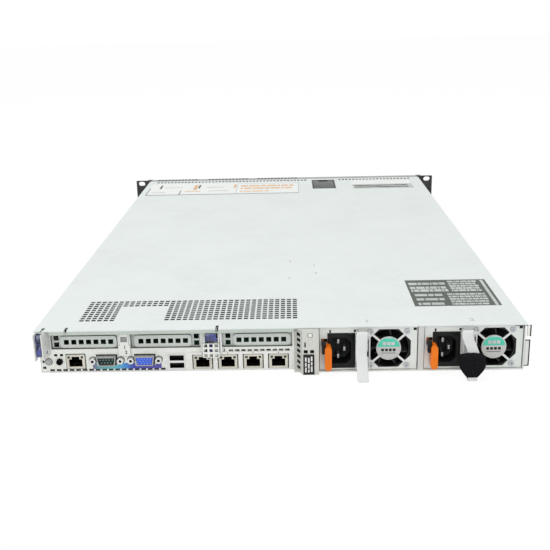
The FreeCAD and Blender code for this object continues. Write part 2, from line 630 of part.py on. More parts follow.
# Riser cards: upright boards with an edge socket towards each expansion slot.
risers = []
for x, start, sides in ((across(-139.0), 17, (-1, 1)), (across(-60.0), 93, (1,))):
    upright = block(span(x, 1.6), (panel(start), panel(175)), (BOARD_TOP, WALL_TOP - 2.9))
    edge_sockets = [block(span(x + 4.4 * side, 7.2), (panel(98), panel(165)), (26, 34)) for side in sides]
    risers.append(fuse(upright, *edge_sockets))
node("riser_cards", gather(risers))

# Heat sinks: a base plate with upright fins on each processor.
heat_sinks = []
for x in PROCESSORS_X:
    base = block(span(x, 80), (along(258), along(344)), (SOCKET_TOP, SOCKET_TOP + 3.5))
    fins = [block(span(x - 39 + 6.5 * index, 1.2), (along(258), along(344)), (SOCKET_TOP + 3.5, WALL_TOP - 5))
            for index in range(13)]
    heat_sinks.append(fuse(base, *fins))
node("heat_sinks", gather(heat_sinks))

# Air shroud: bent plastic hood over the processors and memory, standing on the main board.
SHROUD_SIDE = inside(207.0)
SHROUD_TOP = WALL_TOP - 1.3
node("air_shroud", profile(
    "XZ", (along(226), along(398)),
    [(-SHROUD_SIDE, BOARD_TOP), (1.5 - SHROUD_SIDE, BOARD_TOP), (1.5 - SHROUD_SIDE, SHROUD_TOP - 1.4),
     (SHROUD_SIDE - 1.5, SHROUD_TOP - 1.4), (SHROUD_SIDE - 1.5, BOARD_TOP), (SHROUD_SIDE, BOARD_TOP),
     (SHROUD_SIDE, SHROUD_TOP), (-SHROUD_SIDE, SHROUD_TOP)]))


# Fans: a square frame with a motor cup on struts, and a rotor with swept blades.
def fan_frame(x, y, z, depth):
    """Frame whose face is at y, open towards the face, with the motor carried at the far end."""
    left, right = span(x, FAN_SIZE)
    low, high = span(z, FAN_SIZE)
    shell = profile("XZ", (y, y + depth), [(left, low), (right, low), (right, high), (left, high)],
                    polygon((x, z), (FAN_TIP + 0.7) * 1.01, 24))
    cup = profile("XZ", (y + depth - 2.4, y + depth), polygon((x, z), d.fan_hub - 0.6, 20))
    ends = (y + depth - 1.6, y + depth)
    struts = [block(span(x, FAN_SIZE - 2), ends, span(z, 2.2)),
              block(span(x, 2.2), ends, span(z, FAN_SIZE - 2))]
    return fuse(shell, cup, *struts)


def fan_rotor(x, y, z, depth, blades, rise):
    """Hub on a bore for its shaft, with a ring of slanted blades, put in place."""
    body = doc.addObject("PartDesign::Body", "rotor")
    hub = body.newObject("PartDesign::Pad", "hub")
    hub.Profile = add_sketch(body, "XZ", 0, [polygon((0, 0), d.fan_hub, 20), (0, 0, 1.5)])
    hub.Reversed = True
    bind(hub, "Length", depth)
    doc.recompute([body, hub])
    root = d.fan_hub - 1.6
    blade = body.newObject("PartDesign::Pad", "blade")
    blade.Profile = add_sketch(body, "YZ", root, [[(1.2, -rise - 0.6), (depth - 1.0, rise - 0.6),
                                                   (depth - 1.0, rise + 0.6), (1.2, 0.6 - rise)]])
    bind(blade, "Length", FAN_TIP - 0.25 - root)
    doc.recompute([body, blade])
    ring = body.newObject("PartDesign::PolarPattern", "blades")
    ring.Originals = [blade]
    ring.Axis = (origin_part(body, "Y_Axis"), [""])
    ring.Angle = 360
    ring.Occurrences = blades
    body.Tip = ring
    for axis, place in (("x", x), ("y", y), ("z", z)):
        bind(body, f"Placement.Base.{axis}", place)
    return body


FAN_DEPTH = Size(28.0)
FAN_FACE = rear(FANS_FROM_REAR)
FAN_Z = GAUGE + FAN_SIZE / 2
fans_x = [inside(68.0 * (index - 2.5)) for index in range(6)]
node("fan_frames", gather([fan_frame(x, FAN_FACE, FAN_Z, FAN_DEPTH) for x in fans_x]))
for number, x in enumerate(fans_x, start=1):
    node(f"fan_rotor_{number}", fan_rotor(x, FAN_FACE + 3, FAN_Z, FAN_DEPTH - 6, 5, 5.0))


# Drive cage: dividers and a top plate over four bays, and the backplane behind them.
BAYS_LEFT = 0.5 - WALL_IN
BAY_PITCH = (WALL_IN * 2 - 1) / 4
BAY_WIDTH = BAY_PITCH - GAUGE
CAGE_TOP = GAUGE + d.drive_height + 1.6
bay_middles = [BAYS_LEFT + BAY_PITCH * (index + 0.5) + GAUGE / 2 for index in range(4)]
dividers = [block((BAYS_LEFT + BAY_PITCH * index, BAYS_LEFT + BAY_PITCH * index + GAUGE),
                  (front(-170), front(-2)), (GAUGE, CAGE_TOP)) for index in range(1, 4)]
cage_plate = block((1.2 - WALL_IN, WALL_IN - 1.2), (front(-170), front(-2)), (CAGE_TOP, CAGE_TOP + GAUGE))
node("drive_cage", fuse(cage_plate, *dividers))

backplane = block((1 - WALL_IN, WALL_IN - 1), (front(-179), front(-177)), (GAUGE, CAGE_TOP - 1))
plugs = [block(span(x, 34), (front(-177), front(-171)), (6, 14)) for x in bay_middles]
air_holes = [block(span(x + shift, 30), (front(-180), front(-176)), (17, CAGE_TOP - 5))
             for x in bay_middles for shift in (-20, 20)]
node("drive_backplane", cut(fuse(backplane, *plugs), *air_holes))


# Front panel: sheet with four bay openings, a vented strip above them and a perforated top lip.
CARRIER_WIDTH = BAY_WIDTH - d.running_gap
STRIP_Z = (CAGE_TOP + GAUGE + WALL_TOP) / 2
POWER_AT = (inside(196.0), STRIP_Z)
front_sheet = block((-WALL_IN, WALL_IN), (front(-2), front(0)), (GAUGE, COVER_UNDER))
top_lip = block((-WALL_OUT, WALL_OUT), (front(0.5) - d.cover_set_back, front(0)),
                (COVER_UNDER, d.chassis_height))
collar = rod("Y", POWER_AT, 3.7, (front(-9), front(-2)))
front_cuts = [block(span(x, BAY_WIDTH), (front(-3), front(1)), (GAUGE, CAGE_TOP)) for x in bay_middles]
front_cuts += [block(span(inside(-196.0 + 22.0 * index), 16.0), (front(-3), front(1)), span(STRIP_Z, 4.0))
               for index in range(17)]
for group in (-203.0, -121.0, -41.0):
    front_cuts += [block(span(inside(group) + d.front_vent_pitch * index, 3.4), (front(-6.5), front(-2.5)),
                         (COVER_UNDER - 1, d.chassis_height + 1)) for index in range(12)]
front_cuts.append(rod("Y", POWER_AT, 3.0, (front(-10), front(1))))
node("front_panel", cut(fuse(front_sheet, top_lip, collar), *front_cuts))
node("power_button", rod("Y", POWER_AT, 2.6, (front(-8), front(1.6))))


# Drive carriers: vented bezel, two side rails and a floor round the drive, and a swing-out lever.
CARRIER_LOW = GAUGE + 0.6
CARRIER_TOP = CARRIER_LOW + d.drive_height
BEZEL = (front(-10), front(1.5))
RAILS = (front(-168), front(-10))
LEVER_Z = span(CARRIER_LOW + d.drive_height / 2, 9.0)
for number, x in enumerate(bay_middles, start=1):
    left, right = span(x, CARRIER_WIDTH)
    bezel = block((left, right), BEZEL, (CARRIER_LOW, CARRIER_TOP))
    rails = [block(rail, RAILS, (CARRIER_LOW, CARRIER_TOP - 4))
             for rail in ((left, left + 1), (right - 1, right))]
    floor = block((left, right), RAILS, (CARRIER_LOW, CARRIER_LOW + 1))
    vents = [block(span(x + 15.4 * column, 12.4), (BEZEL[0] - 2, BEZEL[1] + 2), span(height, 6.4))
             for column in (-2, -1, 0, 1, 2) for height in (CARRIER_LOW + 5, CARRIER_TOP - 5)]
    lugs = [block((right - 10.5, right - 4), (BEZEL[1], front(8)), lug)
            for lug in ((LEVER_Z[0] - 2.6, LEVER_Z[0] - 0.4), (LEVER_Z[1] + 0.4, LEVER_Z[1] + 2.6))]
    pin_at = (right - 7, front(5))
    pin_hole = rod("Z", pin_at, 1.3, (CARRIER_LOW, CARRIER_TOP))
    carrier = cut(fuse(bezel, floor, *rails, *lugs), pin_hole, *vents)
    drive = block(span(x, CARRIER_WIDTH - 2), (front(-160), front(-13)), (CARRIER_LOW + 1, CARRIER_TOP - 3))
    node(f"drive_carrier_{number}", gather([carrier, drive]))
    arm = profile(
        "XY", LEVER_Z,
        [(right - 5.2, front(3.0)), (right - 5.2, front(7.2)), (left + 12, front(6.6)),
         (left + 6, front(8.6)),
         (left + 5, front(7.2)), (left + 11, front(4.6)), (left + 11, front(2.6)), (right - 9, front(2.6))])
    pin = rod("Z", pin_at, 1.0, (LEVER_Z[0] - 2.4, LEVER_Z[1] + 2.4))
    node(f"carrier_lever_{number}", fuse(arm, pin))


# Rack ears: a pair of slotted flanges, each with a side leg on the chassis wall and a pull in front.
def outward(side, low, high):
    """Limits along X on the right, or mirrored on the left."""
    return (low, high) if side > 0 else (-high, -low)


EAR_Z = (0.6, d.chassis_height - 0.6)
PULL_LOW, PULL_HIGH = Size(3.0), d.chassis_height - 2.8
ears = []
for side in (-1, 1):
    flange = block(outward(side, WALL_OUT, d.ear_span / 2), (front(-d.ear_gauge), front(0)), EAR_Z)
    leg = block(outward(side, WALL_OUT, WALL_OUT + 1.6), (front(-50), front(-d.ear_gauge)),
                (3, COVER_UNDER - d.flange_drop - 3.8))
    tip = front(d.front_reach)
    pull = profile(
        "YZ", outward(side, COVER_SIDE, COVER_SIDE + 8),
        [(front(0), PULL_LOW), (tip - 6, PULL_LOW), (tip, PULL_LOW + 6), (tip, PULL_HIGH - 6),
         (tip - 6, PULL_HIGH), (front(0), PULL_HIGH), (front(0), PULL_HIGH - 5),
         (tip - 7.5, PULL_HIGH - 5), (tip - 5, PULL_HIGH - 8),
         (tip - 5, PULL_LOW + 8), (tip - 7.5, PULL_LOW + 5), (front(0), PULL_LOW + 5)])
    rack_slots = []
    through = (front(-d.ear_gauge - 1), front(1))
    middle = d.rack_holes_across / 2 * side
    half = (d.rack_slot - d.rack_hole) / 2
    for rise in (-0.5, 0.5):
        height = d.chassis_height / 2 + d.rack_holes_up * rise
        rack_slots.append(block((middle - half, middle + half), through, span(height, d.rack_hole)))
        rack_slots.append(rod("Y", (middle - half, height), d.rack_hole / 2, through))
        rack_slots.append(rod("Y", (middle + half, height), d.rack_hole / 2, through))
    ears.append(cut(fuse(flange, leg, pull), *rack_slots))
node("rack_ears", gather(ears))

# Rail studs: shouldered studs riveted to the walls, which hang in the slots of a rack rail.
studs = []
for side in (-1, 1):
    for y in (60.0, 240.0, 420.0, 600.0):
        middle = (rear(y), 17.0)
        neck = profile("YZ", outward(side, WALL_OUT, WALL_OUT + 2.6), polygon(middle, 3.0, 12))
        head = profile("YZ", outward(side, WALL_OUT + 2.6, WALL_OUT + 4.2), polygon(middle, 4.8, 12))
        studs.append(fuse(neck, head))
node("rail_studs", gather(studs))


# Top cover: flat plate with a field of vents round a blank patch near the rear, a row of vents near the
# front and an opening for the latch. Its turned-down edges are two side flanges with hooks for the wall
# slots and a lip over the connectors.
COVER_FRONT = front(0) - d.cover_set_back
OPEN_Z = (COVER_UNDER - 1, d.chassis_height + 1)
LATCH_X = (45.0, 81.0)
LATCH_Y = (COVER_FRONT - 78, COVER_FRONT - 10)
cover_plate = block((-COVER_SIDE, COVER_SIDE), (rear(0), COVER_FRONT), (COVER_UNDER, d.chassis_height))
REAR_NOTCHES = [span(across(x), 2.6) for x in (-209.6, -188.8, -54.8)]
rear_lip = block((POCKET_NEAR + 2.5, POST_LEFT - 2), (rear(0), rear(GAUGE)),
                 (COVER_UNDER - d.lip_drop, COVER_UNDER))
lip_notches = [block(notch, (rear(-1), rear(2)), (COVER_UNDER - 2.2, COVER_UNDER + 1))
               for notch in REAR_NOTCHES[1:]]
folds = [cut(rear_lip, *lip_notches)]
for side in (-1, 1):
    flange = block(outward(side, COVER_SIDE - GAUGE, COVER_SIDE), (rear(8), COVER_FRONT),
                   (COVER_UNDER - d.flange_drop, COVER_UNDER))
    hooks = [block(outward(side, WALL_IN - 0.2, COVER_SIDE - GAUGE),
                   (rear(place + 1) + d.cover_travel, rear(place + 9) + d.cover_travel),
                   (HOOK_LOW + 0.4, HOOK_HIGH - 0.4)) for place in HOOKS_AT]
    folds.append(fuse(flange, *hooks))
node("cover_folds", gather(folds))
cover_cuts = [block(LATCH_X, LATCH_Y, OPEN_Z)]
for column in range(36):
    for line in range(10):
        if 6 <= column < 14 and line < 7:
            continue
        x, y = d.vent_pitch * column - 180.0, rear(d.vent_pitch * line + 25.2)
        cover_cuts.append(block(span(x, d.vent_size), span(y, d.vent_size), OPEN_Z))
for index in range(74):
    x = d.front_vent_pitch * index - 201.7
    if not LATCH_X[0] - 7 < x.value < LATCH_X[1] + 7:
        cover_cuts.append(block(span(x, 3.2), (COVER_FRONT - 14, COVER_FRONT - 6), OPEN_Z))
for notch in REAR_NOTCHES:
    cover_cuts.append(block(notch, (rear(-1), rear(8)), OPEN_Z))
for x, y in ((9.9, 204.0), (35.9, 187.5), (8.8, 142.7), (37.2, 158.4)):
    cover_cuts.append(rod("Z", (x, rear(y)), 1.5, (d.chassis_height - 0.5, d.chassis_height + 1)))
node("top_cover", cut(cover_plate, *cover_cuts))

# Cover latch: a moulded tray under the opening, and the lever that is lifted to slide the cover.
TRAY_X = (LATCH_X[0] + 0.3, LATCH_X[1] - 0.3)
LEVER_PIN = (LATCH_Y[0] + 7.5, COVER_UNDER - 2.2)
LEVER_TOP = d.chassis_height - 0.4
tray_cup = block(TRAY_X, (LATCH_Y[0] + 0.3, LATCH_Y[1] - 0.3), (COVER_UNDER - 7.4, d.chassis_height - 0.1))
tray_rim = block((LATCH_X[0] - 3, LATCH_X[1] + 3), (LATCH_Y[0] - 3, LATCH_Y[1] + 3),
                 (COVER_UNDER - 1, COVER_UNDER))
tray_room = block((TRAY_X[0] + 1, TRAY_X[1] - 1), (LATCH_Y[0] + 1.3, LATCH_Y[1] - 1.3),
                  (COVER_UNDER - 6.4, d.chassis_height + 1))
tray_pin_hole = rod("X", LEVER_PIN, 1.7, (TRAY_X[0] - 1, TRAY_X[1] + 1))
node("cover_latch_tray", cut(fuse(tray_cup, tray_rim), tray_room, tray_pin_hole))
lever_sheet = profile(
    "YZ", (TRAY_X[0] + 1.6, TRAY_X[1] - 1.6),
    [(LATCH_Y[0] + 4, LEVER_TOP - 4.4), (LATCH_Y[0] + 10, LEVER_TOP - 4.8),
     (LATCH_Y[1] - 18, LEVER_TOP - 2.6),
     (LATCH_Y[1] - 2.5, LEVER_TOP - 1.6), (LATCH_Y[1] - 2.5, LEVER_TOP), (LATCH_Y[0] + 4, LEVER_TOP)])
finger_notch = block((56.0, 70.0), (LATCH_Y[1] - 12, LATCH_Y[1] - 1), (LEVER_TOP - 4, LEVER_TOP + 1))
lever_pin = rod("X", LEVER_PIN, 1.3, (TRAY_X[0] + 0.2, TRAY_X[1] - 0.2))
node("cover_latch_lever", fuse(cut(lever_sheet, finger_notch), lever_pin))


# Power supplies: steel case with an octagonal fan opening, mains inlet, release latch and pull frame.
def power_supply(number, left):
    face = rear(d.psu_set_back)
    skin = (face, face + d.psu_gauge)
    right = left + d.psu_width
    inner_end = face + d.psu_depth
    fan_x, fan_z = left + 61.0, (PSU_LOW + PSU_TOP) / 2
    inlet_x = (left + 7, left + 7 + d.inlet_width)
    inlet_z = (PSU_LOW + 1.8, PSU_LOW + 1.8 + d.inlet_height)
    handle_x = (inlet_x[1] + 0.4, inlet_x[1] + 0.4 + d.handle_width)
    latch_pin = (left + 3.6, face + 54)
    arm_z = (24.6, 30.0)

    # The case is a shell; its face keeps a hub disc and four spokes in the octagonal opening.
    shell = cut(
        block((left, right), (face, inner_end), (PSU_LOW, PSU_TOP)),
        block((left + d.psu_gauge, right - d.psu_gauge), (face + d.psu_gauge, inner_end - d.psu_gauge),
              (PSU_LOW + d.psu_gauge, PSU_TOP - d.psu_gauge)))
    half_x, half_z = d.guard_width / 2, d.guard_height / 2
    flat_x, flat_z = half_x - d.guard_corner, half_z - d.guard_corner
    octagon = profile(
        "XZ", (face - 1, face + d.psu_gauge + 0.5),
        [(fan_x + a, fan_z + b) for a, b in (
            (-half_x, -flat_z), (-flat_x, -half_z), (flat_x, -half_z), (half_x, -flat_z),
            (half_x, flat_z), (flat_x, half_z), (-flat_x, half_z), (-half_x, flat_z))])
    hub = rod("Y", (fan_x, fan_z), d.guard_hub / 2, skin)
    lean = d.spoke_width * 0.7
    spokes = []
    for aside in (-1, 1):
        for up in (-1, 1):
            end_x = fan_x + (half_x - d.guard_corner / 2 + 1) * aside
            end_z = fan_z + (half_z - d.guard_corner / 2 + 1) * up
            spokes.append(profile("XZ", skin, [(fan_x - lean, fan_z), (fan_x + lean, fan_z),
                                               (end_x + lean, end_z), (end_x - lean, end_z)]))
    windows = [
        block(inlet_x, (face - 1, face + 2), inlet_z),
        block((left + 1.6, left + 6.8), (face - 1, face + 2), (arm_z[0] - 0.6, arm_z[1] + 1)),
        block((left - 1, left + 2), (face + 19, face + 29), (arm_z[0] - 1.6, arm_z[1] + 1)),
    ]
    windows += [block(span(left + 12 + 7.6 * index, 5.4), (inner_end - 2, inner_end + 1), (22, 36))
                for index in range(9)]
    tongue = block(span(left + d.psu_width / 2, 62), (inner_end - d.psu_gauge, inner_end + 10), TONGUE_Z)
    pivot = rod("Z", latch_pin, 1.0, (PSU_LOW, arm_z[1] + 4))
    node(f"psu_{number}_case", fuse(cut(shell, octagon, *windows), hub, *spokes, tongue, pivot))

    node(f"psu_{number}_fan_frame", fan_frame(fan_x, skin[1], fan_z, Size(22.0)))
    node(f"psu_{number}_fan_rotor", fan_rotor(fan_x, skin[1] + 1.4, fan_z, Size(17.0), 7, 4.8))

    # Mains inlet, turned upright: cavity with two cut corners and three blades.
    socket_x, socket_z = (inlet_x[0] + inlet_x[1]) / 2, (inlet_z[0] + inlet_z[1]) / 2
    wide, tall, corner = d.socket_width / 2, d.socket_height / 2, 4.5
    body = block(inlet_x, (face - 0.8, face + 25), inlet_z)
    cavity = profile(
        "XZ", (face - 2, face + 15),
        [(socket_x - wide, socket_z - tall), (socket_x + wide - corner, socket_z - tall),
         (socket_x + wide, socket_z - tall + corner), (socket_x + wide, socket_z + tall - corner),
         (socket_x + wide - corner, socket_z + tall), (socket_x - wide, socket_z + tall)])
    notch = block((inlet_x[1] - 6, inlet_x[1] + 1), (face - 2, face), (inlet_z[1] - 3, inlet_z[1] + 1))
    blades = [block(span(socket_x + x, 2), (face + 4, face + 15.5), span(socket_z + z, 4))
              for x, z in ((-2.6, -7.0), (-2.6, 7.0), (3.0, 0.0))]
    node(f"psu_{number}_inlet", fuse(cut(body, cavity, notch), *blades))

    # Release latch: spring arm inside the case with a thumb tab outside, on an upright pin.
    tab = profile("XZ", (face - 12, face - 1.6),
                  [(left + 4.3, 5.2), (left + 10.3, 5.2), (left + 10.3, 27.2), (left + 4.3, 27.2)])
    round_edges(tab, "Y", 2.9)
    bridge = block((left + 2.2, left + 6), (face - 9, face - 4), (20, arm_z[1]))
    spring_arm = block((left + 2.2, left + 3.9), (face - 4, face + 54), arm_z)
    barb = profile("XY", arm_z, [(left + 2.2, face + 21), (left - 0.3, face + 26), (left + 2.2, face + 27)])
    boss = rod("Z", latch_pin, 2.6, arm_z)
    pin_hole = rod("Z", latch_pin, 1.3, (arm_z[0] - 1, arm_z[1] + 1))
    node(f"psu_{number}_latch", cut(fuse(tab, bridge, spring_arm, barb, boss), pin_hole))

    # Pull frame: an upright window frame on four legs.
    reach = face - d.handle_reach
    thick = 2.5
    rail, bar = 1.2, 3.0
    low, high = Size(5.0), PSU_TOP - 1.6
    frame = profile("XZ", (reach, reach + thick),
                    [(handle_x[0], low), (handle_x[1], low), (handle_x[1], high), (handle_x[0], high)],
                    [(handle_x[0] + rail, low + bar), (handle_x[1] - rail, low + bar),
                     (handle_x[1] - rail, high - bar), (handle_x[0] + rail, high - bar)])
    legs = [block(x, (reach + thick, face), z)
            for x in ((handle_x[0], handle_x[0] + rail), (handle_x[1] - rail, handle_x[1]))
            for z in ((low, low + bar), (high - bar, high))]
    node(f"psu_{number}_handle", fuse(frame, *legs))

    # Cable strap: looped round the frame's upper bar, hanging in front of it and leaning out to the rear.
    near, far = reach - 0.4, reach + thick + 0.4
    outer, inner = near - d.strap_gauge, far + d.strap_gauge
    bar_top = high + 0.4
    loop_top = bar_top + d.strap_gauge
    middle = (handle_x[0] + handle_x[1]) / 2
    room = [(near, 20), (far, 20), (far, bar_top), (near, bar_top)]
    end = rear(-d.rear_reach)
    foot = 0.4 + d.strap_gauge
    pad_near = end + 11.4
    if number == 1:
        band = profile(
            "YZ", span(middle, d.strap_width),
            [(inner, loop_top), (outer, loop_top), (outer, 16), (end + 4.5, foot), (end, foot),
             (end, 0.4), (end + 5, 0.4), (near, 15.5), (near, 18.8), (inner, 18.8)], room)
        node("psu_1_strap", band)
    else:
        band = profile(
            "YZ", span(middle, d.strap_width),
            [(inner, loop_top), (outer, loop_top), (outer, 27), (pad_near, 20), (pad_near - 2, 17),
             (pad_near, 15), (near, 18.8), (inner, 18.8)], room)
        pad = profile("YZ", span(middle, 21), [(end, 2.4), (pad_near, 2.4), (pad_near, 22), (end, 22)])
        round_edges(pad, "X", 4.0)
        tip = block(span(middle, 8.0), (end + 1, pad_near - 4), (0.4, 4.0))
        node("psu_2_strap", fuse(band, pad, tip))


for number, left in enumerate(PSU_LEFTS, start=1):
    power_supply(number, left)


doc.recompute()
for item in doc.Objects:
    if "Invalid" in item.State or "Error" in item.State:
        raise RuntimeError(f"{item.Label} ({item.Name}) did not build: {item.State}")
os.makedirs("parts", exist_ok=True)
for name, item in NODES.items():
    if item.Shape.isNull() or not item.Shape.isValid() or not item.Shape.Solids:
        raise RuntimeError(f"{name} has no sound solid")
    item.Shape.exportStep(f"parts/{name}.step")
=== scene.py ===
import json
import math

import bpy
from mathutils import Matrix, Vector


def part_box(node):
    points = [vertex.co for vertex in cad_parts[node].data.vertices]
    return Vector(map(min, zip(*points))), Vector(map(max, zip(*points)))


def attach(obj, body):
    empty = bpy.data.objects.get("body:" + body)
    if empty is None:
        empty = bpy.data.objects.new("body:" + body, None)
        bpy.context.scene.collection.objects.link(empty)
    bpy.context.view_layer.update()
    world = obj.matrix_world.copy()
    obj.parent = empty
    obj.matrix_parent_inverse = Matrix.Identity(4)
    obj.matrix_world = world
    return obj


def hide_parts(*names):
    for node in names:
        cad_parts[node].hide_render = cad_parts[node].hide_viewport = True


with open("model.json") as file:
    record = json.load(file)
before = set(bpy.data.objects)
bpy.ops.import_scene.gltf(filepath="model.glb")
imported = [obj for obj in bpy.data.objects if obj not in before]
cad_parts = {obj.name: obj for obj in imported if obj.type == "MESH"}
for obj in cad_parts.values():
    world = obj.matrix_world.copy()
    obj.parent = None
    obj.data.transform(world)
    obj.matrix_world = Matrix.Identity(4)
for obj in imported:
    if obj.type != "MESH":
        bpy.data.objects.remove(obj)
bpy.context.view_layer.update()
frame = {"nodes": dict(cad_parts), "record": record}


# Chassis tray: one sheet of zinc-coated steel, folded up at both sides, that carries everything else.
# The coating shows faint crystals, dull stains and a grain from the rolling mill. The walls of the power
# supply bays and the drive cage are cut from the same coil and spot-welded to the tray.
MM = 0.001
GRAIN_X, GRAIN_Y, GRAIN_Z = (4.0, 40.0, 40.0), (40.0, 4.0, 40.0), (40.0, 40.0, 4.0)
# Colour of painted shade on faces in holes, folds and bends.
PAINTED_EDGE_SHADE = (0.05, 0.052, 0.05)


def add_node(tree, kind, inputs=None, **settings):
    """A shader node with its settings made and its inputs set, or linked where a socket is given."""
    made = tree.nodes.new("ShaderNode" + kind)
    for key, value in settings.items():
        setattr(made, key, value)
    for key, value in (inputs or {}).items():
        if isinstance(value, bpy.types.NodeSocket):
            tree.links.new(value, made.inputs[key])
        else:
            made.inputs[key].default_value = value
    return made


def mottle(tree, place, scale, detail=2.0, rough=0.5):
    """Cloudy noise from 0 to 1."""
    inputs = {"Vector": place, "Scale": scale, "Detail": detail, "Roughness": rough}
    return add_node(tree, "TexNoise", inputs).outputs["Fac"]


def rescale(tree, value, start=(0.0, 1.0), end=(0.0, 1.0)):
    """A value carried over from one range to another."""
    inputs = {"Value": value, "From Min": start[0], "From Max": start[1], "To Min": end[0], "To Max": end[1]}
    return add_node(tree, "MapRange", inputs).outputs["Result"]


def combine(tree, operation, *values):
    """The result of one operation on numbers or sockets."""
    return add_node(tree, "Math", dict(enumerate(values)), operation=operation).outputs["Value"]


def coordinate(tree, vector, axis):
    """One coordinate of a vector."""
    return add_node(tree, "SeparateXYZ", {"Vector": vector}).outputs[axis]


def paint(tree, shader, factor, *stops):
    """Gives a shader a colour that goes through the stops, each a place from 0 to 1 and a colour."""
    made = add_node(tree, "ValToRGB", {"Fac": factor})
    while len(made.color_ramp.elements) < len(stops):
        made.color_ramp.elements.new(1.0)
    for element, (place, colour) in zip(made.color_ramp.elements, stops):
        element.position = place
        element.color = (*colour, 1.0)
    tree.links.new(made.outputs["Color"], shader.inputs["Base Color"])


def shaded(colour, factor):
    """A colour made darker or lighter."""
    return tuple(min(1.0, channel * factor) for channel in colour)


def bare_finish(name, metallic, **inputs):
    """A new material: the material, its tree, its shader and the piece's own coordinates."""
    finish = bpy.data.materials.new(name)
    finish.use_nodes = True
    tree = finish.node_tree
    shader = tree.nodes["Principled BSDF"]
    shader.inputs["Metallic"].default_value = metallic
    for key, value in inputs.items():
        shader.inputs[key.replace("_", " ")].default_value = value
    place = add_node(tree, "TexCoord").outputs["Object"]
    return finish, tree, shader, place


def roughen(tree, shader, height, strength, depth, rough, edge):
    """Raises a bump from a height on softened edges, and lets the roughness wander between two values."""
    softened = add_node(tree, "Bevel", {"Radius": edge * MM}, samples=3).outputs["Normal"]
    inputs = {"Height": height, "Strength": strength, "Distance": depth * MM, "Normal": softened}
    bump = add_node(tree, "Bump", inputs)
    tree.links.new(bump.outputs["Normal"], shader.inputs["Normal"])
    tree.links.new(rescale(tree, height, end=rough), shader.inputs["Roughness"])


def sheet_finish(name, shade, metallic, grain=GRAIN_Y, contrast=1.0, shade_heights=None, shade_off_axis=None):
    """Rolled steel sheet: stains, faint crystals and a grain along the axis that is stretched least.
    Given two heights and a rear edge, faces below the upper height are painted dark as shade, fading out
    between the heights, except at the rear edge; given an axis, every face that doesn't look along it is
    painted dark as shade."""
    finish, tree, shader, place = bare_finish(name, metallic)
    stains = mottle(tree, place, 16.0, 7.0, 0.62)
    crystals = add_node(tree, "TexVoronoi", {"Vector": place, "Scale": 190.0}).outputs["Color"]
    mixed = combine(tree, "MULTIPLY_ADD", crystals, 0.16, stains)
    stops = [(0.28, shaded(shade, 1 - 0.10 * contrast)), (0.55, shade),
             (0.85, shaded(shade, 1 + 0.06 * contrast))]
    painted_shade_mask = None
    # Painted shade below the upper height, kept off the rear edge.
    if shade_heights:
        low, high, edge = shade_heights
        height = rescale(tree, coordinate(tree, place, "Z"), (low, high))
        rim = rescale(tree, coordinate(tree, place, "Y"), (edge + 0.5 * MM, edge))
        painted_shade_mask = combine(tree, "MAXIMUM", height, rim)
    # Painted shade on faces turned away from an axis.
    if shade_off_axis:
        normal = add_node(tree, "NewGeometry").outputs["True Normal"]
        facing = combine(tree, "ABSOLUTE", coordinate(tree, normal, shade_off_axis))
        painted_shade_mask = rescale(tree, facing, (0.25, 0.75))
    if painted_shade_mask:
        mixed = combine(tree, "MULTIPLY", mixed, painted_shade_mask)
        stops.insert(0, (0.0, PAINTED_EDGE_SHADE))
    paint(tree, shader, mixed, *stops)
    rolled = add_node(tree, "Mapping", {"Vector": place, "Scale": grain}).outputs["Vector"]
    roughen(tree, shader, mottle(tree, rolled, 60.0, 4.0), 0.10, 0.2, (0.36, 0.52), 0.3)
    return finish


def dress(finish, *nodes):
    """Gives CAD nodes their finish."""
    for node in nodes:
        slots = frame["nodes"][node].data.materials
        slots.clear()
        slots.append(finish)


dress(sheet_finish("zinc_sheet", (0.62, 0.63, 0.61), 0.30), "psu_bay_walls", "drive_cage")
# The tray's copy of the zinc is painted lighter than the walls from the same coil: painted light on its
# pocket and return, which the lamps leave dim.
dress(sheet_finish("tray_sheet", (0.77, 0.78, 0.755), 0.18), "chassis_tray")


# Rear connector panel: a flat zinc sheet spot-welded across the tray, punched for connectors and slits.
# A strip of colour code is printed under the serial and video ports, and plain figures number the slots.
# A small folded plate covers the joint between the first two bays.
def finish_piece(piece, finish, body="chassis"):
    """Gives a finished piece its material and the body that it moves with."""
    piece.data.materials.clear()
    piece.data.materials.append(finish)
    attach(piece, body)


def beside(place, x, y, z):
    """A point given in millimetres from another."""
    return place + Vector((x, y, z)) * MM


def settle(name):
    """Names the piece just added and puts its place, turn and scale in its mesh."""
    piece = bpy.context.object
    piece.name = piece.data.name = name
    bpy.ops.object.transform_apply(location=True, rotation=True, scale=True)
    return piece


def start_block(name, low, high):
    """A box between two corners."""
    bpy.ops.object.select_all(action="DESELECT")
    bpy.ops.mesh.primitive_cube_add(size=1, location=(low + high) / 2, scale=high - low)
    return settle(name)


def use(piece):
    """Makes a piece the only selected one and the active one."""
    bpy.ops.object.select_all(action="DESELECT")
    piece.select_set(True)
    bpy.context.view_layer.objects.active = piece


def apply_modifier(piece, kind, **settings):
    """Adds a modifier and applies it at once."""
    use(piece)
    modifier = piece.modifiers.new(kind.lower(), kind)
    for key, value in settings.items():
        setattr(modifier, key, value)
    bpy.ops.object.modifier_apply(modifier=modifier.name)


def round_off(piece, width, segments=2):
    """Rounds every sharp edge, by millimetres, and shades the piece smooth between its flat faces."""
    apply_modifier(piece, "BEVEL", width=width * MM, segments=segments, limit_method="ANGLE",
                   angle_limit=math.radians(30))
    bpy.ops.object.shade_smooth_by_angle(angle=math.radians(40))
    return piece


def make_block(name, low, high, width, finish, body="chassis", segments=2):
    """A finished box with rounded edges."""
    finish_piece(round_off(start_block(name, low, high), width, segments), finish, body)


def carve(piece, *tools):
    """Cuts boxes or bars out of a piece and takes them away."""
    for tool in tools:
        apply_modifier(piece, "BOOLEAN", object=tool, operation="DIFFERENCE", solver="EXACT")
        bpy.data.objects.remove(tool)


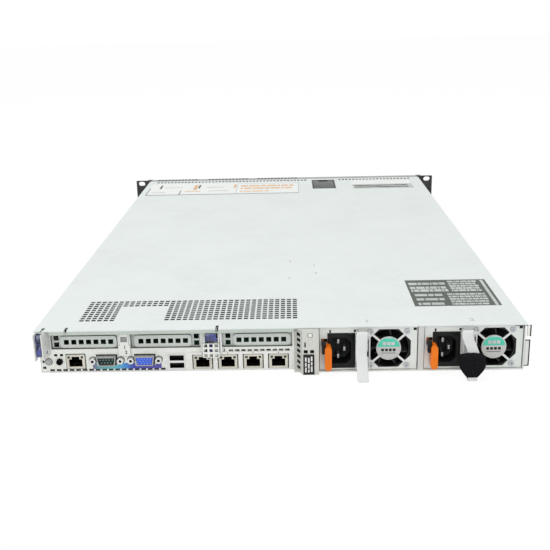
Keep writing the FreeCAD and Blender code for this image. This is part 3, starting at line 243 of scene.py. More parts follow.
def numeral(name, text, height, place, finish, body="chassis", flat=False):
    """A printed figure, a hair proud of an upright face that looks to the rear, or of a flat top."""
    bpy.ops.object.select_all(action="DESELECT")
    bpy.ops.object.text_add(location=place, rotation=(0 if flat else math.pi / 2, 0, 0))
    figure = bpy.context.object.data
    figure.body = text
    figure.size = height * MM
    figure.offset = 0.03 * height * MM
    figure.align_x = figure.align_y = "CENTER"
    figure.extrude = 0.05 * MM
    figure.resolution_u = 4
    bpy.ops.object.convert(target="MESH")
    finish_piece(settle(name), finish, body)


def panel_middle(node):
    """The middle of a connector, on the panel's face."""
    low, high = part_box(node)
    return Vector(((low.x + high.x) / 2, PANEL.y, (low.z + high.z) / 2))


# The panel's sheet is painted dark on faces that don't look to the rear: painted shade in holes, rims and
# bends.
panel_sheet = sheet_finish("panel_sheet", (0.85, 0.87, 0.82), 0.10, GRAIN_X, shade_off_axis="Y")
dress(panel_sheet, "rear_panel")
PANEL = Vector((0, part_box("rear_panel")[0].y, 0))

divider = start_block("bay_divider", beside(PANEL, -144.2, -1.4, 15.6), beside(PANEL, -133.3, 0, 37.6))
recess = start_block("recess", beside(PANEL, -141.6, -2, 29.2), beside(PANEL, -135.8, -0.3, 34.0))
shoulders = [start_block("shoulder", beside(PANEL, left, -2, 26), beside(PANEL, right, -0.5, 39))
             for left, right in ((-146, -142.6), (-134.6, -132))]
carve(divider, recess, *shoulders)
finish_piece(round_off(divider, 0.2), panel_sheet)
# Painted shade: a dark grey block in the plate's recess.
recess_shade_grey = sheet_finish("recess_shade_grey", (0.30, 0.31, 0.31), 0.4)
make_block("divider_recess_shade", beside(PANEL, -141.2, -0.8, 29.6), beside(PANEL, -136.2, -0.2, 33.6), 0.2,
           recess_shade_grey)

SLOT_FIGURE, DIVIDER_RISE = 4.4, 1.4
ink, ink_tree, ink_shader, ink_place = bare_finish("print_ink", 0.0, Roughness=0.6)
paint(ink_tree, ink_shader, mottle(ink_tree, ink_place, 900.0), (0.3, (0.03, 0.032, 0.035)),
      (0.8, (0.10, 0.10, 0.105)))
for text, x, z, rise in (("1", -138.2, 24.0, DIVIDER_RISE), ("2", -137.2, 19.2, DIVIDER_RISE),
                         ("3", -49.6, 19.5, 0.0)):
    numeral(f"slot_figure_{text}", text, SLOT_FIGURE, beside(PANEL, x, -rise - 0.05, z), ink)

STRIP_LOW, STRIP_HIGH = beside(PANEL, -168.5, -0.12, 3.0), beside(PANEL, -106.5, 0, 8.6)
SHELL_HALF = 9.3
serial, video = panel_middle("serial_port"), panel_middle("video_port")
colour_strip = start_block("port_colour_strip", STRIP_LOW, STRIP_HIGH)
carve(colour_strip, *[start_block("opening", beside(port, -SHELL_HALF, -1, -5.5),
                                  beside(port, SHELL_HALF, 1, -2.6)) for port in (serial, video)])
strip_ink, strip_tree, strip_shader, strip_place = bare_finish("strip_ink", 0.0, Roughness=0.45)
share = rescale(strip_tree, coordinate(strip_tree, strip_place, "X"), (STRIP_LOW.x, STRIP_HIGH.x))
wander = combine(strip_tree, "MULTIPLY_ADD", mottle(strip_tree, strip_place, 420.0, 3.0), 0.10, share)
paint(strip_tree, strip_shader, wander, (0.05, (0.22, 0.14, 0.30)), (0.13, (0.12, 0.42, 0.45)),
      (0.36, (0.16, 0.58, 0.58)), (0.50, (0.08, 0.34, 0.72)), (0.64, (0.06, 0.07, 0.48)),
      (1.0, (0.10, 0.08, 0.40)))
finish_piece(round_off(colour_strip, 0.05, 1), strip_ink)


# Slot covers: three pressed blanks held behind the bays' rims until a card takes their place.
# They are the same zinc sheet painted darker, painted shade because they lie deeper, with edges rounded by
# the press, and their vent walls and pan outlines are painted dark as shade.
# A thin dark strip on each bay's lower and left edge is painted shade on the rim's ledge beside the blanks.
def soften(node, name, width, finish, body="chassis", segments=2):
    """A copy of a CAD piece with its doubled points merged and its edges rounded."""
    piece = bpy.data.objects.new(name, frame["nodes"][node].data.copy())
    bpy.context.collection.objects.link(piece)
    use(piece)
    bpy.ops.mesh.customdata_custom_splitnormals_clear()
    bpy.ops.object.mode_set(mode="EDIT")
    bpy.ops.mesh.select_all(action="SELECT")
    bpy.ops.mesh.remove_doubles(threshold=0.002 * MM)
    bpy.ops.mesh.dissolve_limited(angle_limit=math.radians(1))
    bpy.ops.object.mode_set(mode="OBJECT")
    finish_piece(round_off(piece, width, segments), finish, body)
    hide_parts(node)


def join_pieces(name, pieces):
    """Makes one piece of several, with their places in its mesh."""
    bpy.ops.object.select_all(action="DESELECT")
    for piece in pieces:
        piece.select_set(True)
    bpy.context.view_layer.objects.active = pieces[0]
    bpy.ops.object.join()
    return settle(name)


# Painted shade: the blanks' sheet is darker than the panel's, and their vent walls and pan outlines darker
# still.
slot_sheet = sheet_finish("slot_sheet", (0.63, 0.67, 0.635), 0.15, GRAIN_X, shade_off_axis="Y")
soften("slot_covers", "slot_blanks", 0.45, slot_sheet)
# Painted shade: dark strips on the bays' lower and left rims.
bay_shade_grey = sheet_finish("bay_shade_grey", (0.17, 0.185, 0.17), 0.2)
BAY_SIDES = ((-204.5, -144.5), (-133.0, -70.5), (-51.5, 11.5))
BAY_FLOOR, BAY_CEILING, SHADOW_STRIP_GAUGE = 22.5, 38.0, 0.3
for index, (left, right) in enumerate(BAY_SIDES, start=1):
    sill = start_block("sill", beside(PANEL, left, 0.1, BAY_FLOOR),
                       beside(PANEL, right, 2.9, BAY_FLOOR + SHADOW_STRIP_GAUGE))
    jamb = start_block("jamb", beside(PANEL, left, 0.1, BAY_FLOOR + SHADOW_STRIP_GAUGE + 0.05),
                       beside(PANEL, left + SHADOW_STRIP_GAUGE, 2.9, BAY_CEILING - 0.2))
    sill_and_jamb_shade = join_pieces(f"bay_shadow_strip_{index}", [round_off(sill, 0.08), round_off(jamb, 0.08)])
    finish_piece(sill_and_jamb_shade, bay_shade_grey)


# Rear post: folded sheet beside the power supplies, with an information tag slid in at its foot, a
# pressed window and a screw above it. The tag is a dark plate with plain pale fields.
def moulded_finish(name, colour, rough, grain=0.06, drift=0.13, spread=55.0, **inputs):
    """Moulded plastic: a fine spark-eroded grain, and a shade that drifts slightly over the piece."""
    finish, tree, shader, place = bare_finish(name, 0.0, **inputs)
    paint(tree, shader, mottle(tree, place, spread, 3.0), (0.3, shaded(colour, 1 - drift)),
          (0.7, shaded(colour, 1 + drift)))
    roughen(tree, shader, mottle(tree, place, 2600.0), grain, 0.1, rough, 0.3)
    return finish


def print_fields(name, low, high, upward, fields):
    """Plain printed fields on a plate, each given as shares of its width and of its height or depth."""
    blocks = []
    for left, right, start, end in fields:
        corner, far = low.copy(), high.copy()
        for axis, near_share, far_share in ((0, left, right), (upward, start, end)):
            size = high[axis] - low[axis]
            corner[axis] = low[axis] + size * near_share
            far[axis] = low[axis] + size * far_share
        blocks.append(start_block(name, corner, far))
    return round_off(join_pieces(name, blocks), 0.02, 1)


def start_rod(name, radius, start, length, sides=32):
    """A round bar that runs forward from a point, with its sizes in millimetres."""
    bpy.ops.object.select_all(action="DESELECT")
    bpy.ops.mesh.primitive_cylinder_add(vertices=sides, radius=radius * MM, depth=length * MM,
                                        location=beside(start, 0, length / 2, 0),
                                        rotation=(-math.pi / 2, 0, 0))
    return settle(name)


dress(sheet_finish("post_sheet", (0.65, 0.665, 0.615), 0.10, GRAIN_Z), "rear_post")
POST = Vector((0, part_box("rear_post")[0].y, 0))
slate = moulded_finish("slate_label", (0.020, 0.021, 0.021), (0.5, 0.6), Specular_IOR_Level=0.2)
TAG_LOW, TAG_HIGH = beside(POST, 20.9, -0.6, 0.5), beside(POST, 30.6, 0, 19.7)
make_block("information_tag", TAG_LOW, TAG_HIGH, 0.25, slate)
TAG_COLUMN = 0.15
TAG_COLUMNS = {0.15: ((0.12, 0.36), (0.41, 0.60), (0.65, 0.86)),
               0.42: ((0.12, 0.26), (0.31, 0.54), (0.59, 0.84)),
               0.68: ((0.14, 0.42), (0.47, 0.62), (0.67, 0.90))}
TAG_FIELDS = [(left, left + TAG_COLUMN, start, end)
              for left, spans in TAG_COLUMNS.items() for start, end in spans]
tag_white = moulded_finish("tag_white", (0.84, 0.86, 0.84), (0.5, 0.6))
tag_print = print_fields("tag_fields", beside(TAG_LOW, 0, -0.05, 0), beside(TAG_HIGH, 0, -0.55, 0), 2,
                         TAG_FIELDS)
finish_piece(tag_print, tag_white)
make_block("post_window", beside(POST, 25.35, 0.1, 35.9), beside(POST, 28.85, 0.9, 39.1), 0.2, panel_sheet)
SCREW_X, SCREW_Z = 27.2, 31.6
post_screw = start_rod("post_screw", 1.65, beside(POST, SCREW_X, -0.3, SCREW_Z), 1.2, 24)
carve(post_screw, start_rod("hole", 0.6, beside(POST, SCREW_X, -1, SCREW_Z), 1.4, 6))
finish_piece(round_off(post_screw, 0.15), panel_sheet)


# Card latches: two moulded levers that clamp the expansion cards, hinged on their own pins. They are of
# glossy blue plastic with edges rounded by the mould. The middle one stands on a perforated bracket with a
# black plate behind its holes, painted shade, a blue guide and a white flap, and two black blocks under the
# panel's lip are painted shade below the cover's notches.
# The blue swings from much darker to much lighter over small patches: painted highlights and painted shade
# on the gloss.
blue = moulded_finish("blue_latch", (0.028, 0.042, 0.26), (0.08, 0.14), drift=0.9, spread=150.0,
                      Coat_Weight=0.9, Coat_Roughness=0.04)
soften("card_latch_left", "left_latch", 0.9, blue, "left_card_latch", 4)
soften("card_latch_middle", "middle_latch", 1.1, blue, "middle_card_latch", 4)
latch_low, latch_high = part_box("card_latch_middle")
latch_top = Vector((latch_low.x, latch_low.y, latch_high.z))
make_block("latch_ridge", beside(latch_low, 2.2, -1.0, 2.8), beside(latch_top, 5.6, 0.8, -0.6), 0.85, blue,
           "middle_card_latch", 5)
dress(panel_sheet, "card_latch_bracket")
bracket, bracket_end = (Vector((corner.x, PANEL.y, 0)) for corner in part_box("card_latch_bracket"))
painted_shade_black = moulded_finish("painted_shade_black", (0.012, 0.012, 0.013), (0.5, 0.6), Specular_IOR_Level=0.15)
# Painted shade: a black plate behind the bracket's holes.
for name, left, right, finish, slot in (("bracket_shade", 0.6, 4.7, painted_shade_black, "black_plastic"),
                                        ("bracket_guide", 5.2, 9.6, blue, "blue_plastic")):
    make_block(name, beside(bracket, left, -1.2, 18.8), beside(bracket, right, 0, 27.3), 0.3, finish)
# Painted shade: black blocks under the lip, below the cover's notches.
for index, (left, right) in enumerate(((-190.6, -187.0), (-55.1, -52.6)), start=1):
    make_block(f"notch_shade_{index}", beside(PANEL, left, -1.4, 38.9), beside(PANEL, right, 0, 41.3), 0.3,
               painted_shade_black)
flap_white = moulded_finish("flap_white", (0.88, 0.89, 0.88), (0.3, 0.4))
make_block("bracket_flap", beside(bracket_end, 0, -3.6, 18.6), beside(bracket_end, 2.2, 0, 37.8), 0.6,
           flap_white, segments=3)


# Network jacks: five shielded jacks, the first for management alone, the others on the network card.
# Each shield holds a cream moulding with a black throat, sprung gold contacts and two lamp windows.
# A punched bracket with bright bars stands in front of the four.
def repeat(piece, shifts):
    """Joins copies of a piece, each moved by a shift, to the piece itself."""
    copies = [piece]
    for shift in shifts:
        use(piece)
        bpy.ops.object.duplicate()
        bpy.ops.transform.translate(value=shift)
        copies.append(bpy.context.object)
    return join_pieces(piece.name, copies)


def pick(piece, kind, test):
    """Goes into edit mode with only those faces or points selected that pass a test."""
    use(piece)
    bpy.ops.object.mode_set(mode="EDIT")
    bpy.ops.mesh.select_mode(type=kind)
    bpy.ops.mesh.select_all(action="DESELECT")
    bpy.ops.object.mode_set(mode="OBJECT")
    for element in piece.data.polygons if kind == "FACE" else piece.data.vertices:
        element.select = test(element)
    bpy.ops.object.mode_set(mode="EDIT")


def start_cup(name, low, high, wall):
    """A box open to the rear, with walls of an even thickness, in millimetres, inside its limits."""
    cup = start_block(name, low, high)
    pick(cup, "FACE", lambda face: face.normal.y < -0.9)
    bpy.ops.mesh.delete(type="FACE")
    bpy.ops.object.mode_set(mode="OBJECT")
    apply_modifier(cup, "SOLIDIFY", thickness=wall * MM, offset=-1)
    return cup


dress(sheet_finish("shield_plate", (0.62, 0.61, 0.57), 0.65), "network_jacks")
cream = moulded_finish("cream_moulding", (0.70, 0.68, 0.58), (0.4, 0.5))
throat_black = moulded_finish("throat_black", (0.005, 0.005, 0.005), (0.5, 0.65), Specular_IOR_Level=0.06)
lamp_window = moulded_finish("lamp_window", (0.05, 0.05, 0.045), (0.2, 0.3), Specular_IOR_Level=0.2)
# The contacts' gold is painted dark: painted shade deep in the jack throats.
gold = sheet_finish("contact_gold", (0.10, 0.075, 0.035), 0.95)
mouths = [opening["box_m"] for opening in frame["record"]["physics"]["openings"]
          if "jack_mouth" in opening["name"]]
JACK_PROUD, JACK_RISE = 0.8 * MM, 4.4 * MM
middles = [Vector(((low[0] + high[0]) / 2, PANEL.y - JACK_PROUD, low[2] + JACK_RISE))
           for low, high in mouths]
jack, *card_jacks = middles
jack_shifts = [middle - jack for middle in card_jacks]

jack_frames = start_block("jack_frames", beside(jack, -8.4, -0.4, -6.4), beside(jack, 8.4, 0.05, 6.4))
carve(jack_frames, start_block("mouth", beside(jack, -6, -3, -4.7), beside(jack, 6, 3, 2.4)),
      start_block("clip", beside(jack, -3.5, -3, 2), beside(jack, 3.5, 3, 4.9)))
finish_piece(repeat(round_off(jack_frames, 0.12), jack_shifts), cream)
throat = start_cup("throat", beside(jack, -5.98, 0.6, -4.68), beside(jack, 5.98, 13.9, 2.38), 0.25)
clip_throat = start_cup("clip_throat", beside(jack, -3.48, 0.6, 2.0), beside(jack, 3.48, 13.9, 4.88), 0.25)
jack_throats = join_pieces("jack_throats", [throat, clip_throat])
finish_piece(repeat(jack_throats, jack_shifts), throat_black)
CONTACT_PITCH = 1.02
contact = start_block("jack_contacts", beside(jack, -3.75, 3.5, -3.6), beside(jack, -3.35, 10, -3.3))
contacts = repeat(round_off(contact, 0.08, 1), [(CONTACT_PITCH * MM * index, 0, 0) for index in range(1, 8)])
finish_piece(repeat(contacts, jack_shifts), gold)
jack_lamp = start_block("jack_lamps", beside(jack, -7.2, -0.6, 3.2), beside(jack, -4.8, 0.0, 5.4))
jack_lamps = repeat(round_off(jack_lamp, 0.3), [(12.0 * MM, 0, 0)])
finish_piece(repeat(jack_lamps, jack_shifts), lamp_window)

white_bars = sheet_finish("bracket_plate", (0.86, 0.86, 0.83), 0.05)
jack_bracket = start_block("jack_bracket", beside(PANEL, -80.8, -0.9, 0.5), beside(PANEL, 11.6, 0, 18.2))
carve(jack_bracket, *[start_block("opening", beside(middle, -9.3, -4, -6.9), beside(middle, 9.3, 4, 7.1))
                      for middle in card_jacks])
finish_piece(round_off(jack_bracket, 0.15), white_bars)
JACK_FIGURE, FIGURE_Z = 1.9, 17.0
for index, middle in enumerate(card_jacks, start=1):
    place = (middle.x, PANEL.y - 0.95 * MM, FIGURE_Z * MM)
    numeral(f"jack_figure_{index}", str(index), JACK_FIGURE, place, ink)


# Serial and video connectors: D-shaped tinned shells through the panel, held by hexagonal screws.
# The serial one has dull tinned pins in a dark teal moulding, the video one a blue moulding with sockets.
PIN_PITCH, SCREW_SPAN = 2.75, 25.0


def d_insert(name, middle, front, back):
    """A moulding that fills a D-shaped shell, wide side up."""
    wide, narrow, half = 7.8, 6.4, 3.5
    piece = start_block(name, beside(middle, -wide, front, -half), beside(middle, wide, back, half))
    pick(piece, "VERT", lambda point: point.co.z < middle.z)
    bpy.ops.transform.resize(value=(narrow / wide, 1, 1))
    bpy.ops.object.mode_set(mode="OBJECT")
    return round_off(piece, 0.3)


def contact_rows(*rows):
    """Shifts from the first contact to the others, by rows of a count, a start in pitches and a drop."""
    return [Vector((PIN_PITCH * (index + start), 0, -drop)) * MM
            for count, start, drop in rows for index in range(count)][1:]


shell_tin, shell_tree, shell_shader, shell_place = bare_finish("shell_tin", 0.3)
shell_y = coordinate(shell_tree, shell_place, "Y")
# The shell's tin is painted near black behind the panel's face: painted shade in the gap round each shell.
depth = rescale(shell_tree, shell_y, (PANEL.y - 0.4 * MM, PANEL.y + 0.2 * MM))
paint(shell_tree, shell_shader, depth, (0.0, (0.42, 0.43, 0.42)), (1.0, (0.03, 0.03, 0.03)))
drawn = mottle(shell_tree, shell_place, 500.0, 3.0)
roughen(shell_tree, shell_shader, drawn, 0.08, 0.1, (0.25, 0.4), 0.2)
tinned = sheet_finish("tinned_plate", (0.80, 0.80, 0.79), 0.35)
dress(shell_tin, "serial_port", "video_port")
dress(tinned, "port_screws")
teal = moulded_finish("teal_moulding", (0.004, 0.036, 0.030), (0.4, 0.5), Specular_IOR_Level=0.25)
pin_tin = sheet_finish("pin_tin", (0.26, 0.31, 0.29), 0.6)
finish_piece(d_insert("serial_insert", serial, -2.6, 0), teal)
pin = round_off(start_rod("serial_pins", 0.5, beside(serial, -2 * PIN_PITCH, -3.9, 1.4), 3.9, 12), 0.3)
finish_piece(repeat(pin, contact_rows((5, 0, 0), (4, 0.5, 2.8))), pin_tin)
video_blue = moulded_finish("video_blue", (0.045, 0.12, 0.72), (0.25, 0.35))
finish_piece(d_insert("video_insert", video, -4.3, -3.75), video_blue)
socket = start_rod("video_sockets", 0.5, beside(video, -2 * PIN_PITCH, -4.36, 2.0), 0.2, 10)
sockets = repeat(round_off(socket, 0.03, 1), contact_rows((5, 0, 0), (5, -0.4, 2.0), (5, 0, 4.0)))
socket_blue = moulded_finish("socket_blue", (0.26, 0.40, 0.85), (0.4, 0.5))
finish_piece(sockets, socket_blue)
# Black plugs in the screws' threaded holes are painted shade inside them.
screw_hole = start_rod("screw_holes", 1.36, beside(serial, -SCREW_SPAN / 2, -3.0, 0), 2.9, 16)
to_video, to_right = video - serial, Vector((SCREW_SPAN * MM, 0, 0))
screw_holes = repeat(round_off(screw_hole, 0.05, 1), [to_right, to_video, to_video + to_right])
finish_piece(screw_holes, throat_black)


# Serial-bus ports: two stacked sockets in one tinned shell, soldered to the main board.
# Each mouth is dark inside and holds a black tongue; a white frame stands round the pair.
dress(tinned, "usb_ports")
usb = panel_middle("usb_ports")
PORT_PITCH = 7.2
upper = [(0, 0, PORT_PITCH * MM)]
mouth = start_cup("usb_throats", beside(usb, -6.43, -0.6, -6.18), beside(usb, 6.43, 9.95, -1.02), 0.2)
finish_piece(repeat(mouth, upper), throat_black)
tongue = start_block("usb_tongues", beside(usb, -5.8, -0.5, -3.75), beside(usb, 5.8, 9.7, -1.65))
finish_piece(repeat(round_off(tongue, 0.15), upper), throat_black)
usb_frame = start_block("usb_surround", beside(usb, -8.9, -0.5, -8.3), beside(usb, 8.9, 0, 8.3))
carve(usb_frame, start_block("opening", beside(usb, -7.4, -3, -7.2), beside(usb, 7.4, 3, 7.2)))
finish_piece(round_off(usb_frame, 0.15), white_bars)


# Identification button and indicator jack: a clear button in a pressed ring, and a black barrel beside it.
# The button's cap is a shallow dome over a flat rim and slides in the panel on its own spring.
clear_grey = moulded_finish("clear_grey", (0.55, 0.56, 0.55), (0.12, 0.2), Transmission_Weight=0.25)
button_low, button_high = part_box("id_button")
button = Vector(((button_low.x + button_high.x) / 2, button_low.y, (button_low.z + button_high.z) / 2))
cap = start_rod("button_cap", 2.9, button, (button_high.y - button_low.y) / MM, 40)
carve(cap, start_rod("groove", 2.2, beside(button, 0, -1, 0), 1.3, 40))
finish_piece(round_off(cap, 0.2), clear_grey, "id_button")
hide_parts("id_button")
lens = start_rod("button_lens", 1.9, beside(button, 0, -0.1, 0), 0.9)
finish_piece(round_off(lens, 0.5, 4), clear_grey, "id_button")
bpy.ops.object.select_all(action="DESELECT")
bpy.ops.mesh.primitive_torus_add(location=(button.x, PANEL.y - 0.1 * MM, button.z),
                                 rotation=(math.pi / 2, 0, 0), major_radius=3.7 * MM,
                                 minor_radius=0.35 * MM, major_segments=40, minor_segments=8)
ring = settle("button_ring")
bpy.ops.object.shade_smooth()
finish_piece(ring, tinned)
dress(throat_black, "indicator_jack")
plug_hole = start_rod("indicator_throat", 1.68, beside(PANEL, -198.1, -1.6, 10.8), 6, 24)
finish_piece(round_off(plug_hole, 0.05, 1), throat_black)


# Circuit boards: lacquered glass fibre with faint copper traces, screwed to spacers on the tray.
# Memory modules and riser cards stand in sockets on the main board; the backplane stands behind the drives.
# The lacquer is painted near black green: painted shade of the chassis' dark inside, seen through the vents.
board, board_tree, board_shader, board_place = bare_finish("board_lacquer", 0.0, Coat_Weight=0.4)
weave = add_node(board_tree, "TexBrick", {
    "Vector": board_place, "Scale": 180.0, "Mortar Size": 0.03, "Mortar": (0.016, 0.07, 0.03, 1),
    "Color1": (0.004, 0.026, 0.012, 1), "Color2": (0.006, 0.034, 0.016, 1)})
board_tree.links.new(weave.outputs["Color"], board_shader.inputs["Base Color"])
roughen(board_tree, board_shader, weave.outputs["Fac"], 0.15, 0.05, (0.28, 0.42), 0.2)
dress(board, "main_board", "network_card", "riser_cards", "memory_modules", "drive_backplane")


# Heat sinks and air shroud: extruded aluminium fins on both processors, under a folded black shroud
# that guides the fans' air over them and over the memory.
dress(sheet_finish("fin_metal", (0.68, 0.69, 0.70), 0.85), "heat_sinks")
black = moulded_finish("black_plastic", (0.011, 0.011, 0.012), (0.4, 0.55), Specular_IOR_Level=0.25)
dress(black, "air_shroud")


# Chassis fans: six black moulded frames in a row behind the shroud, each clipped in on its own.
# A rotor with slanted blades turns on a steel shaft in each of them.
rotor_black = moulded_finish("rotor_black", (0.016, 0.016, 0.018), (0.25, 0.36), Specular_IOR_Level=0.35)
dress(black, "fan_frames")
dress(rotor_black, *[f"fan_rotor_{number}" for number in range(1, 7)])


# Front panel and power button: a zinc sheet with bay openings, a vented strip and a perforated top lip,
# and a round grey button that slides in its collar. A black strip on the drive cage behind the lip, with
# black plugs in the lip's perforations, is painted shade seen behind and through the lip.
dress(sheet_finish("front_sheet", (0.36, 0.375, 0.365), 0.35), "front_panel")
# Painted shade: black behind the lip's vents and in its perforations.
lip_hole_black = moulded_finish("shade_through_lip", (0.010, 0.010, 0.010), (0.7, 0.85), grain=0.3, Specular_IOR_Level=0.05)
cage_low, cage_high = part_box("drive_cage")
vent_shade_low = Vector((cage_low.x + 2 * MM, cage_high.y - 16.5 * MM, cage_high.z))
vent_shade_high = Vector((cage_high.x - 2 * MM, cage_high.y - 0.3 * MM, 41.4 * MM))
make_block("vent_shade_strip", vent_shade_low, vent_shade_high, 0.4, lip_hole_black)
LIP_HOLE, LIP_GAP, LIP_PITCH, LIP_GROUPS, GROUP_HOLES = 3.4, 0.1, 5.5, (-203.0, -121.0, -41.0), 12
lip = Vector((LIP_GROUPS[0] * MM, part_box("front_panel")[1].y, 0))
plug_half = LIP_HOLE / 2 - LIP_GAP
plug = start_block("lip_hole_plug_shade", beside(lip, -plug_half, -6.4, 41.3), beside(lip, plug_half, -2.6, 43.35))
plug_shifts = [((group - LIP_GROUPS[0] + LIP_PITCH * index) * MM, 0, 0)
               for group in LIP_GROUPS for index in range(GROUP_HOLES)]
finish_piece(repeat(round_off(plug, 0.1, 1), plug_shifts[1:]), lip_hole_black)
grey = moulded_finish("grey_plastic", (0.10, 0.104, 0.11), (0.4, 0.55))
soften("power_button", "power_cap", 0.5, grey, "power_button", 3)


# Drive carriers: a grey bezel, side rails and a floor round a drive, with a plain pressed lid on the drive
# and a black lever hinged at one end of the bezel that locks the carrier in its bay.
lid_metal = sheet_finish("lid_metal", (0.20, 0.205, 0.205), 0.6)
for number in range(1, 5):
    lever = f"drive_lever_{number}"
    dress(grey, f"drive_carrier_{number}")
    soften(f"carrier_lever_{number}", lever, 0.5, black, lever)
    low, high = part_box(f"drive_carrier_{number}")
    left, right = Vector((low.x, low.y, high.z)), Vector((high.x, low.y, high.z))
    lid = start_block(f"drive_lid_{number}", beside(left, 3, 9, -3.0), beside(right, -3, 153, -2.4))
    carve(lid, start_block("pressed", beside(left, 14, 22, -2.6), beside(right, -14, 140, 0)))
    finish_piece(round_off(lid, 0.2), lid_metal, f"drive_{number}")


# Rack ears and rail studs: black coated plates with slots for the rack's screws and moulded pulls, and
# turned steel studs riveted to the chassis walls, which hang in the rails. Thin black lines round the return
# at the rear end of the right wall are painted shade in the gaps beside it.
tray_low, tray_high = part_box("chassis_tray")
wall_end = Vector((tray_high.x, tray_low.y, 0))
# Painted shade: black lines in the gaps round the return.
RETURN_LOW, RETURN_HIGH = beside(wall_end, -5.0, 9.94, 2.5), beside(wall_end, 0, 10.04, 27.3)
RETURN_SHADE_LINES = ((0.0, 0.13, 0.0, 1.0), (0.78, 1.0, 0.0, 1.0), (0.14, 0.77, 0.0, 0.035), (0.14, 0.77, 0.965, 1.0))
return_shade_print = print_fields("return_gap_shade", RETURN_LOW, RETURN_HIGH, 2, RETURN_SHADE_LINES)
finish_piece(return_shade_print, painted_shade_black)
coat = moulded_finish("black_coat", (0.016, 0.016, 0.018), (0.38, 0.52), grain=0.15)
soften("rack_ears", "ears", 0.5, coat)
dress(tinned, "rail_studs")


# Power supplies: each is a pale zinc case with a fan guard, and black patches on its face are painted shade
# in its slots.
# A two-tone disc is stuck on the guard's hub, four cross-headed screws hold the fan, and a charcoal inlet
# takes the mains plug.
# An orange latch, a clear pull frame and a white webbing strap stick out of the face.
case = sheet_finish("case_sheet", (0.765, 0.80, 0.765), 0.12)
charcoal = moulded_finish("charcoal", (0.007, 0.007, 0.0075), (0.42, 0.55), grain=0.12,
                          Specular_IOR_Level=0.2)
orange = moulded_finish("orange_latch", (0.94, 0.20, 0.004), (0.2, 0.3), Specular_IOR_Level=0.3)
milky = moulded_finish("milky_plastic", (0.76, 0.77, 0.76), (0.28, 0.38), Transmission_Weight=0.15)
# The screws' slot walls and rims are painted dark: painted shade.
screw_metal = sheet_finish("screw_metal", (0.56, 0.59, 0.62), 0.4, shade_off_axis="Y")
blade_metal = sheet_finish("blade_metal", (0.42, 0.42, 0.41), 0.85)
webbing, web_tree, web_shader, web_place = bare_finish("white_webbing", 0.0, Sheen_Weight=0.3)
web_waves = add_node(web_tree, "TexWave", {"Vector": web_place, "Scale": 620.0, "Distortion": 0.6},
                     bands_direction="Z").outputs["Fac"]
paint(web_tree, web_shader, web_waves, (0.0, (0.70, 0.71, 0.71)), (1.0, (0.86, 0.87, 0.87)))
roughen(web_tree, web_shader, web_waves, 0.35, 0.1, (0.6, 0.75), 0.2)

HUB_RADIUS = 11.0
HUB_BARS = [(0.26 + 0.17 * index, 0.40 + 0.17 * index, 0.64, 0.78) for index in range(3)]
HUB_DASHES = [(0.20 + 0.155 * index, 0.31 + 0.155 * index, 0.38, 0.49) for index in range(4)]
HUB_DASHES.append((0.20, 0.78, 0.29, 0.31))
CASE_SLOT_SHADES = ((0.10, 0.117, 0.885, 0.955), (0.35, 0.39, 0.905, 0.955), (0.96, 0.993, 0.925, 0.985))
FAN_X, SCREW_OUT, HEAD_HALF, SLOT_HALF = 61.0, 16.0, 1.7, 0.35
STRAP_CUT, STRAP_GATHERED, STRAP_GAUGE = 10.0 * MM, 9.0 * MM, 1.0 * MM
STRAP_HANGS = {1: ((0.3, 28), (0.0, 21), (0.7, 19.2), (1.0, 16.5), (3.4, 11), (6.8, 6), (10.2, 2.6),
                   (12.8, 1.2)),
               2: ((0.8, 30), (2.4, 25.5), (4.2, 21.5), (5.6, 18))}
STRAP_SWAYS = {1: (0, 0, -0.1, -0.2, -0.8, -1.3, -1.7, -1.9, -1.9, -1.9, -1.4, -1.3, -1.2, -1.1, -1.1, -1.1),
               2: (0, 0, -0.2, -0.2, -1.6, -2.8, -2.4, -0.6, 1.2, 2.6, 3.2)}


def hub_finish(number, height):
    """Print on a hub disc: a pale cap, a mint field and a grey field, one below the other."""
    finish, tree, shader, place = bare_finish(f"hub_print_{number}", 0.0)
    share = rescale(tree, coordinate(tree, place, "Z"), (height - HUB_RADIUS * MM, height + HUB_RADIUS * MM))
    paint(tree, shader, share, (0.0, (0.56, 0.57, 0.55)), (0.565, (0.60, 0.60, 0.58)),
          (0.575, (0.075, 0.62, 0.44)), (0.93, (0.09, 0.66, 0.48)), (0.94, (0.70, 0.72, 0.70)))
    roughen(tree, shader, mottle(tree, place, 700.0), 0.05, 0.05, (0.3, 0.4), 0.1)
    return finish


def lay_band(name, route, widths, gauge, sway):
    """A strap along a route of points (y, z), its rows swayed sideways, given thickness and smoothed."""
    rows, columns = len(route), 5
    bpy.ops.object.select_all(action="DESELECT")
    bpy.ops.mesh.primitive_grid_add(x_subdivisions=columns - 1, y_subdivisions=rows - 1, size=1)
    band = settle(name)
    for point in band.data.vertices:
        row = round((point.co.y + 0.5) * (rows - 1))
        point.co = (sway[row] + point.co.x * widths[row], *route[row])
    apply_modifier(band, "SOLIDIFY", thickness=gauge, offset=0)
    apply_modifier(band, "SUBSURF", levels=2, render_levels=2)
    bpy.ops.object.shade_smooth()
    return band


